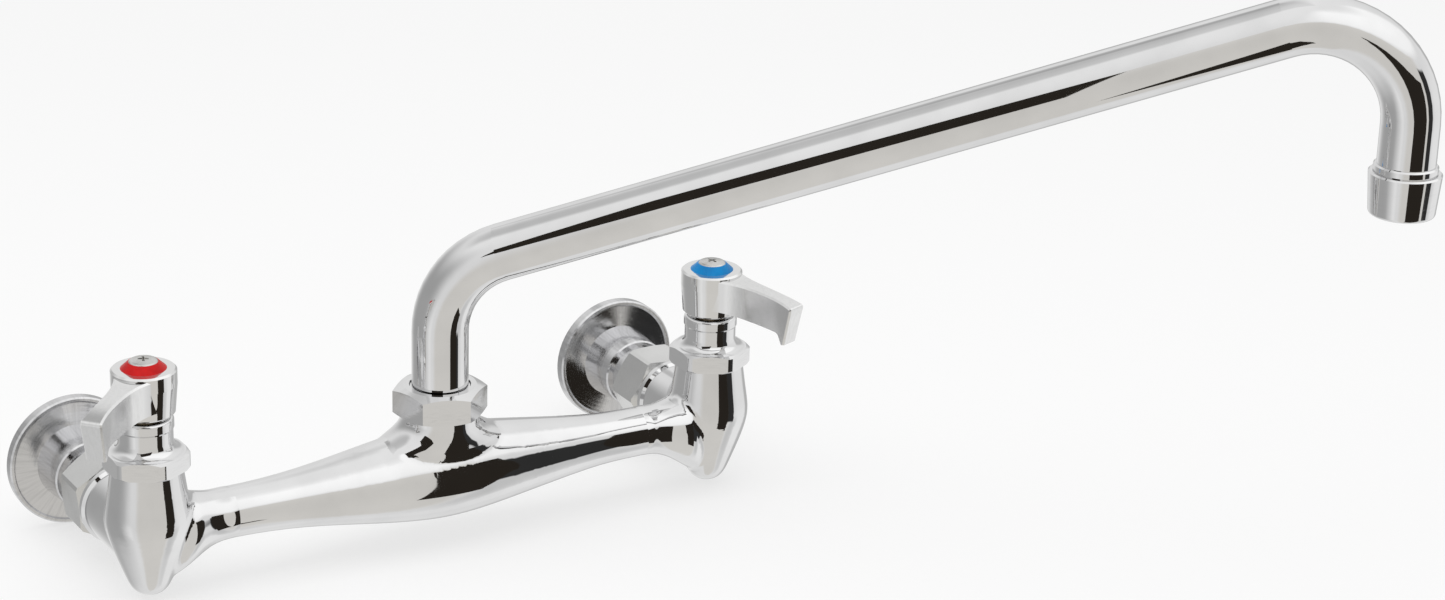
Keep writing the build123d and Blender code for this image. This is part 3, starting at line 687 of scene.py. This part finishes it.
def dress(piece: bpy.types.Object, material: bpy.types.Material) -> None:
    """Puts a material in every slot of a piece.

    Args:
        piece: A CAD node or a new piece.
        material: Its material.
    """
    if not piece.material_slots:
        piece.data.materials.append(material)
    for slot in piece.material_slots:
        slot.material = material


def dress_nodes(materials: Mapping[str, bpy.types.Material], prefix: str = "") -> None:
    """Dresses CAD nodes.

    Args:
        materials: Each node's material, by its name.
        prefix: What comes before each name.
    """
    for name, material in materials.items():
        dress(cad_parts[prefix + name], material)


# ---------------------------------------------------------------- modelling


def deselect() -> None:
    """Leaves no object selected or active."""
    for other in bpy.context.selected_objects:
        other.select_set(False)
    bpy.context.view_layer.objects.active = None


def only(piece: bpy.types.Object) -> None:
    """Makes a piece the one selected and active object.

    Args:
        piece: The piece.
    """
    deselect()
    piece.select_set(True)
    bpy.context.view_layer.objects.active = piece


def settle(piece: bpy.types.Object) -> None:
    """Applies a piece's modifiers and puts its place into its mesh.

    Args:
        piece: The piece.
    """
    only(piece)
    for modifier in list(piece.modifiers):
        bpy.ops.object.modifier_apply(modifier=modifier.name)
    bpy.ops.object.transform_apply(location=True, rotation=True, scale=True)


def pick(piece: bpy.types.Object, wanted: Callable[[Vector], bool]) -> None:
    """In edit mode, selects the faces whose centre is wanted.

    Args:
        piece: The piece in edit mode.
        wanted: Test on a face's centre.
    """
    bpy.ops.mesh.select_all(action="DESELECT")
    bpy.ops.object.mode_set(mode="OBJECT")
    for face in piece.data.polygons:
        face.select = wanted(face.center)
    bpy.ops.object.mode_set(mode="EDIT")


# ---------------------------------------------------------------- the faucet


class Side(Enum):
    """Hot and cold halves of the faucet."""

    HOT = "hot"
    COLD = "cold"


@dataclass
class WallConnection:
    """Wall flange, union nut and what is between them, on one side.

    Attributes:
        side: Which side.
        flange_colour: What the flange's chrome reflects.
        flange_rings: Its lathe rings per metre.
        flange_ring_haze: Roughness that they add.
        flange_relief: Their height.
        flange_roughness: Mean roughness of the flange.
        flange_streaks_and_painted_reflection: How much streaked sectors roughen it and darken its colour; the
            darkening is a painted reflection.
        thread_radius: Radius of the plain pipe hole.
        thread_depth: Depth that the pipe thread takes up.
        pitch: Pitch of the pipe thread, 14 to the inch.
        ridge: Height of a thread.
        root: Half the width of a thread at its root, as a share of the pitch.
        crest: Its width at the crest, as a share of that at the root.
        sunk: How far the root is sunk into the wall of the hole.
        steps: Steps in one turn.
    """

    side: Side
    flange_colour: Triple = (0.70, 0.70, 0.71)
    flange_rings: float = 2600.0
    flange_ring_haze: float = 0.20
    flange_relief: float = 0.00002
    flange_roughness: float = 0.09
    # Darkens the flange's colour in sectors: a painted reflection, with some roughness.
    flange_streaks_and_painted_reflection: float = 0.20
    thread_radius: float = 9.2 * MM
    thread_depth: float = 14.2 * MM
    pitch: float = 1.814 * MM
    ridge: float = 0.75 * MM
    root: float = 0.42
    crest: float = 0.15
    sunk: float = 0.1 * MM
    steps: int = 64

    def build(self) -> None:
        """Dresses the nodes and winds the pipe thread."""
        centre = Axis.LYING.through(f"{self.side.value}_wall_flange")
        flange = TurnedChrome(
            f"{self.side.value}_flange_chrome", Axis.LYING, centre, self.flange_colour, self.flange_roughness,
            rings=self.flange_rings, ring_haze=self.flange_ring_haze, relief=self.flange_relief,
            streaks_and_painted_reflection=self.flange_streaks_and_painted_reflection)
        dress_nodes({
            "wall_flange": flange.make(),
            "union_nut": Stock.SATIN_CHROME.material,
            "union_tailpiece": Stock.BRASS.material,
            "union_washer": Stock.FIBRE.material,
        }, f"{self.side.value}_")
        self.thread(centre)

    def thread(self, centre: Triple) -> None:
        """Winds the pipe thread's ridge round the wall of the pipe hole.

        Args:
            centre: Middle of the hole's mouth.
        """
        deselect()
        bpy.ops.mesh.primitive_plane_add(size=self.pitch)
        ridge = bpy.context.active_object
        ridge.name = f"{self.side.value}_pipe_thread"
        outer = self.thread_radius + self.sunk
        inner = self.thread_radius - self.ridge
        half = self.pitch * self.root
        tip = half * self.crest
        outline = ((outer, -half), (inner, -tip), (outer, half), (inner, tip))
        for point, (radius, height) in zip(ridge.data.vertices, outline):
            point.co = (radius, 0.0, height)
        turns = int(self.thread_depth / self.pitch)
        screw = ridge.modifiers.new("winding", "SCREW")
        screw.axis = "Z"
        screw.screw_offset = self.pitch
        screw.iterations = turns
        screw.steps = screw.render_steps = self.steps
        screw.use_smooth_shade = True
        ridge.rotation_euler = (math.radians(90.0), 0.0, 0.0)
        ridge.location = (centre[0], -self.pitch / 2, centre[2])
        settle(ridge)
        bpy.ops.object.mode_set(mode="EDIT")
        bpy.ops.mesh.select_all(action="SELECT")
        bpy.ops.mesh.normals_make_consistent(inside=False)
        bpy.ops.object.mode_set(mode="OBJECT")
        dress(ridge, Stock.BRASS.material)
        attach(ridge, "body")
        log.info("%s: %d turns", ridge.name, turns)


@dataclass
class ValveTop:
    """Bonnet, lever, index ring, screw and the cartridge inside, on one side.

    Attributes:
        side: Which side.
        head_radius: Radius of the screw's head.
        head_height: Height of the head.
        head_sides: Sides of the head's outline.
        crown: Rounding of the head's edge.
        crown_steps: Steps in that rounding.
        dome: How far the middle of the head stands above its rounded edge.
        dome_rises: Share of the dome that each ring towards the middle rises.
        dome_ring: Width of each ring, as a share of the flat's radius.
        smooth_angle: Edges flatter than this are shaded smooth, in degrees.
        shank_radius: Radius of the screw under its head.
        wing_length: Length of the cross recess.
        wing_width: Width of its wings at the top.
        wing_foot: Shares of that length and width that its floor has.
        recess_depth: Depth of the recess at the middle.
        CROSS_TURNS: Direction of the cross on each side, in degrees.
    """

    side: Side
    head_radius: float = 4.75 * MM
    head_height: float = 1.7 * MM
    head_sides: int = 72
    crown: float = 1.1 * MM
    crown_steps: int = 8
    dome: float = 0.35 * MM
    dome_rises: Triple = (0.5, 0.3, 0.2)
    dome_ring: float = 0.3
    smooth_angle: float = 32.0
    shank_radius: float = 1.9 * MM
    wing_length: float = 5.4 * MM
    wing_width: float = 1.3 * MM
    wing_foot: Range = (0.28, 0.5)
    recess_depth: float = 1.9 * MM

    CROSS_TURNS: ClassVar[Mapping[Side, float]] = {Side.HOT: -22.0, Side.COLD: 12.0}

    def build(self) -> None:
        """Dresses the nodes and makes the handle screw."""
        centre = Axis.UPRIGHT.through(f"{self.side.value}_bonnet")
        ring = Stock.RED_PLASTIC if self.side is Side.HOT else Stock.BLUE_PLASTIC
        dress_nodes({
            "bonnet": TurnedChrome(f"{self.side.value}_bonnet_chrome", Axis.UPRIGHT, centre).make(),
            "lever_handle": LeverChrome(f"{self.side.value}_lever_chrome", centre).make(),
            "index_ring": ring.material,
            "handle_screw": Stock.STAINLESS.material,
            # The stem's near-black brass is painted shade for the gap under the lever.
            "valve_stem": Stock.PAINTED_SHADE_BRASS.material,
            "cartridge_cage": Stock.BRASS.material,
            "fixed_disc": Stock.CERAMIC.material,
            "turning_disc": Stock.CERAMIC.material,
            "seat_seal": Stock.RUBBER.material,
            "stem_o_ring": Stock.RUBBER.material,
            "bonnet_o_ring": Stock.RUBBER.material,
            "thrust_washer": Stock.NYLON.material,
        }, f"{self.side.value}_")
        self.screw()

    def screw(self) -> None:
        """Turns the handle screw with a domed head and sinks its cross recess."""
        node = f"{self.side.value}_handle_screw"
        low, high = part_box(node)
        seat = high.z - self.head_height
        axis = ((low.x + high.x) / 2, (low.y + high.y) / 2)
        half = self.head_height / 2
        deselect()
        bpy.ops.mesh.primitive_cylinder_add(
            vertices=self.head_sides, radius=self.head_radius, depth=self.head_height,
            location=(*axis, seat + half))
        screw = bpy.context.active_object
        screw.name = f"{self.side.value}_domed_screw"
        bpy.ops.object.mode_set(mode="EDIT")
        pick(screw, lambda centre: centre.z > half * NEARLY)
        bpy.ops.mesh.bevel(offset=self.crown, segments=self.crown_steps, profile=0.5, affect="EDGES")
        pick(screw, lambda centre: centre.z > half * NEARLY)
        for share in self.dome_rises:
            bpy.ops.mesh.inset(thickness=(self.head_radius - self.crown) * self.dome_ring)
            bpy.ops.transform.translate(value=(0.0, 0.0, self.dome * share))
        pick(screw, lambda centre: centre.z < -half * NEARLY)
        bpy.ops.mesh.inset(thickness=self.head_radius - self.shank_radius)
        bpy.ops.mesh.extrude_region_move(
            TRANSFORM_OT_translate={"value": (0.0, 0.0, low.z - seat)})
        bpy.ops.object.mode_set(mode="OBJECT")
        settle(screw)
        for quarter in (0.0, 90.0):
            self.sink_wing(screw, (*axis, high.z + self.dome), self.CROSS_TURNS[self.side] + quarter)
        only(screw)
        bpy.ops.object.shade_smooth_by_angle(angle=math.radians(self.smooth_angle))
        dress(screw, Stock.STAINLESS.material)
        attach(screw, f"{self.side.value}_valve")
        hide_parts(node)
        log.info("%s: %d faces", screw.name, len(screw.data.polygons))

    def sink_wing(self, screw: bpy.types.Object, top: Triple, turn: float) -> None:
        """Cuts one tapered wing of the cross recess.

        Args:
            screw: The screw.
            top: Middle of its head.
            turn: Direction of the wing, in degrees.
        """
        deselect()
        bpy.ops.mesh.primitive_cube_add(size=1.0, location=top, rotation=(0.0, 0.0, math.radians(turn)))
        wing = bpy.context.active_object
        wing.scale = (self.wing_length, self.wing_width, 2.0 * self.recess_depth)
        foot = (*top[:2], top[2] - self.recess_depth)
        bpy.ops.object.mode_set(mode="EDIT")
        pick(wing, lambda centre: centre.z < -0.5 * NEARLY)
        bpy.ops.transform.resize(value=(*self.wing_foot, 1.0), center_override=foot)
        bpy.ops.object.mode_set(mode="OBJECT")
        settle(wing)
        cut = screw.modifiers.new("recess", "BOOLEAN")
        cut.operation = "DIFFERENCE"
        cut.solver = "EXACT"
        cut.object = wing
        settle(screw)
        bpy.data.objects.remove(wing)


@dataclass
class Bridge:
    """The cast body with the spout nut."""

    def build(self) -> None:
        """Dresses the nodes."""
        centre = Axis.UPRIGHT.through("spout_nut")
        dress_nodes({
            "faucet_body": Stock.CAST_CHROME.material,
            "spout_nut": TurnedChrome("spout_nut_chrome", Axis.UPRIGHT, centre).make(),
            "spout_slip_washer": Stock.NYLON.material,
        })


@dataclass
class Spout:
    """The swinging tube with its ferrule and outlet.

    Attributes:
        outlet_ring_haze: Roughness that the outlet's lathe rings add.
        screen_radius: Radius of the wire screen in the outlet's mouth.
        screen_cells: Cells across the screen.
        screen_depth: How far the screen stands inside the mouth.
        screen_margin: How far short of that radius the screen is cut, in wires.
        wire: Thickness of its wires.
        rim_radius: Radius of its rim's wire, in wires.
        rim_sides: Sides of the rim along and across it.
    """

    outlet_ring_haze: float = 0.06
    screen_radius: float = 7.85 * MM
    screen_cells: int = 26
    screen_depth: float = 0.85 * MM
    screen_margin: float = 2.0
    wire: float = 0.17 * MM
    rim_radius: float = 1.2
    rim_sides: tuple[int, int] = (72, 8)

    def build(self) -> None:
        """Dresses the nodes and makes the wire screen."""
        centre = Axis.UPRIGHT.through("aerator_shell")
        outlet = TurnedChrome("outlet_chrome", Axis.UPRIGHT, centre, ring_haze=self.outlet_ring_haze).make()
        dress_nodes({
            "spout_tube": Stock.TUBE_CHROME.material,
            "spout_ferrule": Stock.TUBE_CHROME.material,
            "outlet_bushing": outlet,
            "aerator_shell": outlet,
            "aerator_insert": Stock.NYLON.material,
            "aerator_washer": Stock.RUBBER.material,
            "spout_o_rings": Stock.RUBBER.material,
        })
        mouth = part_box("aerator_shell")[0].z
        self.screen((*centre[:2], mouth + self.screen_depth))

    def screen(self, middle: Triple) -> None:
        """Makes the aerator's woven screen with its rim.

        Args:
            middle: Its middle.
        """
        deselect()
        bpy.ops.mesh.primitive_torus_add(
            major_radius=self.screen_radius - self.wire, minor_radius=self.rim_radius * self.wire,
            major_segments=self.rim_sides[0], minor_segments=self.rim_sides[1], location=middle)
        rim = bpy.context.active_object
        rim.name = "aerator_screen_rim"
        bpy.ops.object.shade_smooth()
        settle(rim)
        deselect()
        bpy.ops.mesh.primitive_grid_add(
            x_subdivisions=self.screen_cells, y_subdivisions=self.screen_cells,
            size=2.0 * self.screen_radius, location=middle)
        screen = bpy.context.active_object
        screen.name = "aerator_screen"
        edge = self.screen_radius - self.screen_margin * self.wire
        bpy.ops.object.mode_set(mode="EDIT")
        pick(screen, lambda centre: centre.xy.length > edge)
        bpy.ops.mesh.delete(type="FACE")
        bpy.ops.object.mode_set(mode="OBJECT")
        wires = screen.modifiers.new("wires", "WIREFRAME")
        wires.thickness = self.wire
        settle(screen)
        for piece in (rim, screen):
            dress(piece, Stock.STAINLESS.material)
            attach(piece, "spout")
            log.info("%s: %d faces", piece.name, len(piece.data.polygons))


# ---------------------------------------------------------------- studio


@dataclass(frozen=True)
class Shot:
    """The photograph's camera.

    Attributes:
        target: A point on its axis.
        distance: From that point to the lens.
        azimuth: Turn about Z, in degrees: 0 looks along +Y.
        elevation: Height above the horizon, in degrees.
        roll: Turn about its own axis, in degrees.
        focal: Focal length, in pixels of the photograph.
        width: The photograph's width in pixels.
        off_centre: How far the picture's middle is from the axis, in pixels to the right and down.
        sensor: Width of the sensor, in millimetres.
        clip: Nearest and farthest distance that it sees.
    """

    target: Triple = (0.11035, -0.068, 0.0374)
    distance: float = 1.19105
    azimuth: float = -31.42
    elevation: float = 20.71
    roll: float = 1.86
    focal: float = 3510.0
    width: float = 1445.0
    off_centre: Range = (10.1, 14.9)
    sensor: float = 36.0
    clip: Range = (0.05, 50.0)

    def make(self) -> None:
        """Makes the camera and puts it in the scene."""
        turn, rise, roll = (math.radians(angle) for angle in (self.azimuth, self.elevation, self.roll))
        ahead = Vector((-math.sin(turn) * math.cos(rise), math.cos(turn) * math.cos(rise), -math.sin(rise)))
        level = Vector((math.cos(turn), math.sin(turn), 0.0))
        upward = level.cross(ahead)
        right = math.cos(roll) * level + math.sin(roll) * upward
        top = math.cos(roll) * upward - math.sin(roll) * level
        lens = bpy.data.cameras.new("photo_camera")
        lens.sensor_width = self.sensor
        lens.lens = self.focal / self.width * lens.sensor_width
        lens.shift_x = -self.off_centre[0] / self.width
        lens.shift_y = self.off_centre[1] / self.width
        lens.clip_start, lens.clip_end = self.clip
        camera = bpy.data.objects.new("photo_camera", lens)
        bpy.context.scene.collection.objects.link(camera)
        turned = Matrix((right, top, -ahead)).transposed().to_4x4()
        camera.matrix_world = Matrix.Translation(Vector(self.target) - ahead * self.distance) @ turned
        bpy.context.scene.camera = camera


@dataclass(frozen=True)
class Patch:
    """A stretch of the room that is darker or lighter than the rest, by direction in degrees.

    Attributes:
        azimuth: Its middle, counted from +X towards +Y.
        half: Half its width.
        soft: Width over which its sides fade.
        low: Elevation of its lower edge.
        high: Elevation of its upper edge.
        fade: Height over which those edges fade.
        shade: Share of light that it takes away, or adds where it is under nought.
    """

    azimuth: float
    half: float
    soft: float
    low: float
    high: float
    fade: float
    shade: float

    def mask(self, across: Signal, deep: Signal, height: Signal) -> Signal:
        """One inside the patch and nought outside it.

        Args:
            across: Level direction's part along +X.
            deep: Its part along +Y.
            height: Sine of the elevation.

        Returns:
            The mask.
        """
        angle = math.radians(self.azimuth)
        outer = math.cos(math.radians(self.half + self.soft / 2))
        inner = math.cos(math.radians(max(self.half - self.soft / 2, 0.0)))
        low, high, fade = (math.sin(math.radians(edge)) for edge in (self.low, self.high, self.fade))
        facing = (across * math.cos(angle) + deep * math.sin(angle)).ramp(outer, inner)
        return facing * height.between(low, high, fade)


@dataclass(frozen=True)
class Card:
    """A black card near the faucet, which only the chrome sees.

    Attributes:
        lower: Its lower corners, left and right.
        upper: Its upper corners, left and right.
        colour: What the chrome sees of it.
    """

    lower: tuple[Triple, Triple]
    upper: tuple[Triple, Triple]
    colour: Triple = (0.024, 0.020, 0.016)

    def make(self, name: str) -> None:
        """Makes the card.

        Args:
            name: Its name.
        """
        deselect()
        bpy.ops.mesh.primitive_plane_add(size=1.0)
        card = bpy.context.active_object
        card.name = name
        for point, corner in zip(card.data.vertices, (*self.lower, *self.upper)):
            point.co = corner
        material = bpy.data.materials.new(name)
        graph = Graph(material)
        graph.end(graph.node("ShaderNodeEmission", inputs={"Color": opaque(self.colour)}))
        dress(card, material)
        card.visible_camera = card.visible_diffuse = False
        card.visible_shadow = card.visible_transmission = False


@dataclass
class Studio:
    """Pale floor, soft light, and what the chrome reflects: a pale room and two black cards near by.

    Attributes:
        floor_size: Length of the floor's sides.
        floor_gap: Gap between the faucet and the floor.
        floor_paint: Colour of the floor.
        floor_glow: Share of plain white in the floor as the camera sees it.
        lamp_power: Power of the soft lamp overhead.
        lamp_size: Its length and width.
        lamp_place: Its middle.
        lamp_tilt: Its turns about X, Y and Z, in degrees.
        fill: Strength of the world as a lamp.
        zenith: Brightness of the room straight up.
        horizon: Its brightness at eye level.
        nadir: Its brightness straight down.
        above: Sines of the elevations between which it goes from eye level to the zenith.
        below: Sines of the elevations between which it goes from the nadir to eye level.
        patches: Where it departs from that.
        warm: The stretch of it that is a warm grey wall.
        tint: Tint of the room.
        warm_tint: Tint of the warm wall.
        cards: The black cards.
    """

    floor_size: float = 30.0
    floor_gap: float = 0.3 * MM
    floor_paint: Triple = (0.96, 0.96, 0.96)
    floor_glow: float = 0.6
    lamp_power: float = 7.5
    lamp_size: Range = (1.6, 1.2)
    lamp_place: Triple = (-0.3, -0.35, 1.3)
    lamp_tilt: Triple = (-15.0, -12.0, 0.0)
    fill: float = 0.72
    zenith: float = 0.95
    horizon: float = 0.80
    nadir: float = 0.84
    above: Range = (0.0, 0.95)
    below: Range = (-0.95, -0.1)
    patches: tuple[Patch, ...] = (
        # Dim, behind the faucet: wide to the left, high up, and one post.
        Patch(143.0, 38.0, 50.0, -50.0, 25.0, 30.0, 0.50),
        Patch(112.0, 40.0, 30.0, 42.0, 75.0, 16.0, 0.36),
        Patch(82.0, 6.0, 8.0, 32.0, 52.0, 10.0, 0.35),
        # Nearly black, in front to the right, with a dim foot under it.
        Patch(311.0, 10.0, 2.0, -27.0, 14.0, 3.0, 0.96),
        Patch(322.0, 12.0, 12.0, -60.0, -24.0, 14.0, 0.22),
        # Bright to the right, and dim behind that.
        Patch(350.0, 20.0, 20.0, -60.0, 10.0, 30.0, -0.14),
        Patch(42.0, 24.0, 12.0, -45.0, 12.0, 14.0, 0.36),
        # Bright, high up in front and low on the left.
        Patch(300.0, 66.0, 20.0, 24.0, 66.0, 8.0, -0.26),
        Patch(190.0, 12.0, 14.0, -36.0, -14.0, 10.0, -0.15),
    )
    warm: Patch = Patch(262.0, 42.0, 16.0, -90.0, 22.0, 2.0, 0.13)
    tint: Triple = (1.0, 1.0, 0.995)
    warm_tint: Triple = (1.0, 0.975, 0.925)
    cards: tuple[Card, ...] = (
        Card(
            lower=((0.110, -0.500, -0.37), (0.310, -0.419, -0.37)),
            upper=((0.110, -0.500, 0.17), (0.310, -0.419, 0.17))),
        Card(
            lower=((-0.352, -0.274, 0.16), (-0.085, -0.495, 0.08)),
            upper=((-0.352, -0.274, 0.42), (-0.125, -0.462, 0.30))),
    )

    def build(self) -> None:
        """Makes the floor, the cards, the lamp and the world."""
        self.floor()
        for number, card in enumerate(self.cards, start=1):
            card.make(f"black_card_{number}")
        self.lamp()
        self.world()

    def floor(self) -> None:
        """A wide floor under the faucet."""
        deselect()
        lowest = CAD_BOX[0].z - self.floor_gap
        bpy.ops.mesh.primitive_plane_add(size=self.floor_size, location=(0.0, 0.0, lowest))
        floor = bpy.context.active_object
        floor.name = "floor"
        material = bpy.data.materials.new("pale_floor")
        graph = Graph(material)
        paint = graph.node("ShaderNodeBsdfDiffuse", inputs={"Color": opaque(self.floor_paint)})
        glow = graph.node("ShaderNodeEmission", inputs={"Color": WHITE, "Strength": 1.0})
        graph.end(graph.mix_shaders(graph.ray("Is Camera Ray") * self.floor_glow, paint, glow))
        dress(floor, material)
        floor.visible_glossy = False

    def lamp(self) -> None:
        """One large soft lamp overhead."""
        light = bpy.data.lights.new("softbox", "AREA")
        light.shape = "RECTANGLE"
        light.size, light.size_y = self.lamp_size
        light.energy = self.lamp_power
        lamp = bpy.data.objects.new("softbox", light)
        lamp.location = self.lamp_place
        lamp.rotation_euler = tuple(math.radians(tilt) for tilt in self.lamp_tilt)
        lamp.visible_glossy = False
        bpy.context.scene.collection.objects.link(lamp)

    def world(self) -> None:
        """White to the camera, even to paint, and a room to metal."""
        world = bpy.data.worlds.new("studio")
        bpy.context.scene.world = world
        graph = Graph(world)
        even = graph.background(WHITE, self.fill)
        room = graph.background(self.room(graph))
        lit = graph.mix_shaders(graph.ray("Is Glossy Ray"), even, room)
        seen = graph.mix_shaders(graph.ray("Is Camera Ray"), lit, graph.background(WHITE))
        graph.end(seen, "ShaderNodeOutputWorld")

    def room(self, graph: Graph) -> Signal:
        """What metal reflects, by direction.

        Args:
            graph: The world's graph.

        Returns:
            Its colour.
        """
        across, deep, height = graph.split(graph.node("ShaderNodeTexCoord", output="Generated"))
        # The small number keeps this above nought straight up and down.
        level = (across * across + deep * deep + 0.0001) ** 0.5
        direction = (across / level, deep / level, height)
        light = height.ramp(*self.above, self.horizon, self.zenith) * height.ramp(
            *self.below, self.nadir / self.horizon, 1.0)
        wall = self.warm.mask(*direction)
        for patch in self.patches:
            light = light * (1.0 - patch.mask(*direction) * patch.shade)
        light = light * (1.0 - wall * self.warm.shade)
        tint = graph.mix(wall, opaque(self.tint), opaque(self.warm_tint))
        return graph.node("ShaderNodeVectorMath", {"operation": "SCALE"}, {0: tint, "Scale": light})


def main() -> None:
    """Builds the studio and dresses the faucet."""
    logging.basicConfig(level=logging.INFO, format="%(name)s %(message)s")
    bpy.context.scene.view_settings.view_transform = "Standard"
    Shot().make()
    Studio().build()
    for side in Side:
        for part in (WallConnection(side), ValveTop(side)):
            part.build()
            log.info("%s %s done", side.value, type(part).__name__)
    for part in (Bridge(), Spout()):
        part.build()
        log.info("%s done", type(part).__name__)


if __name__ == "__main__":
    main()
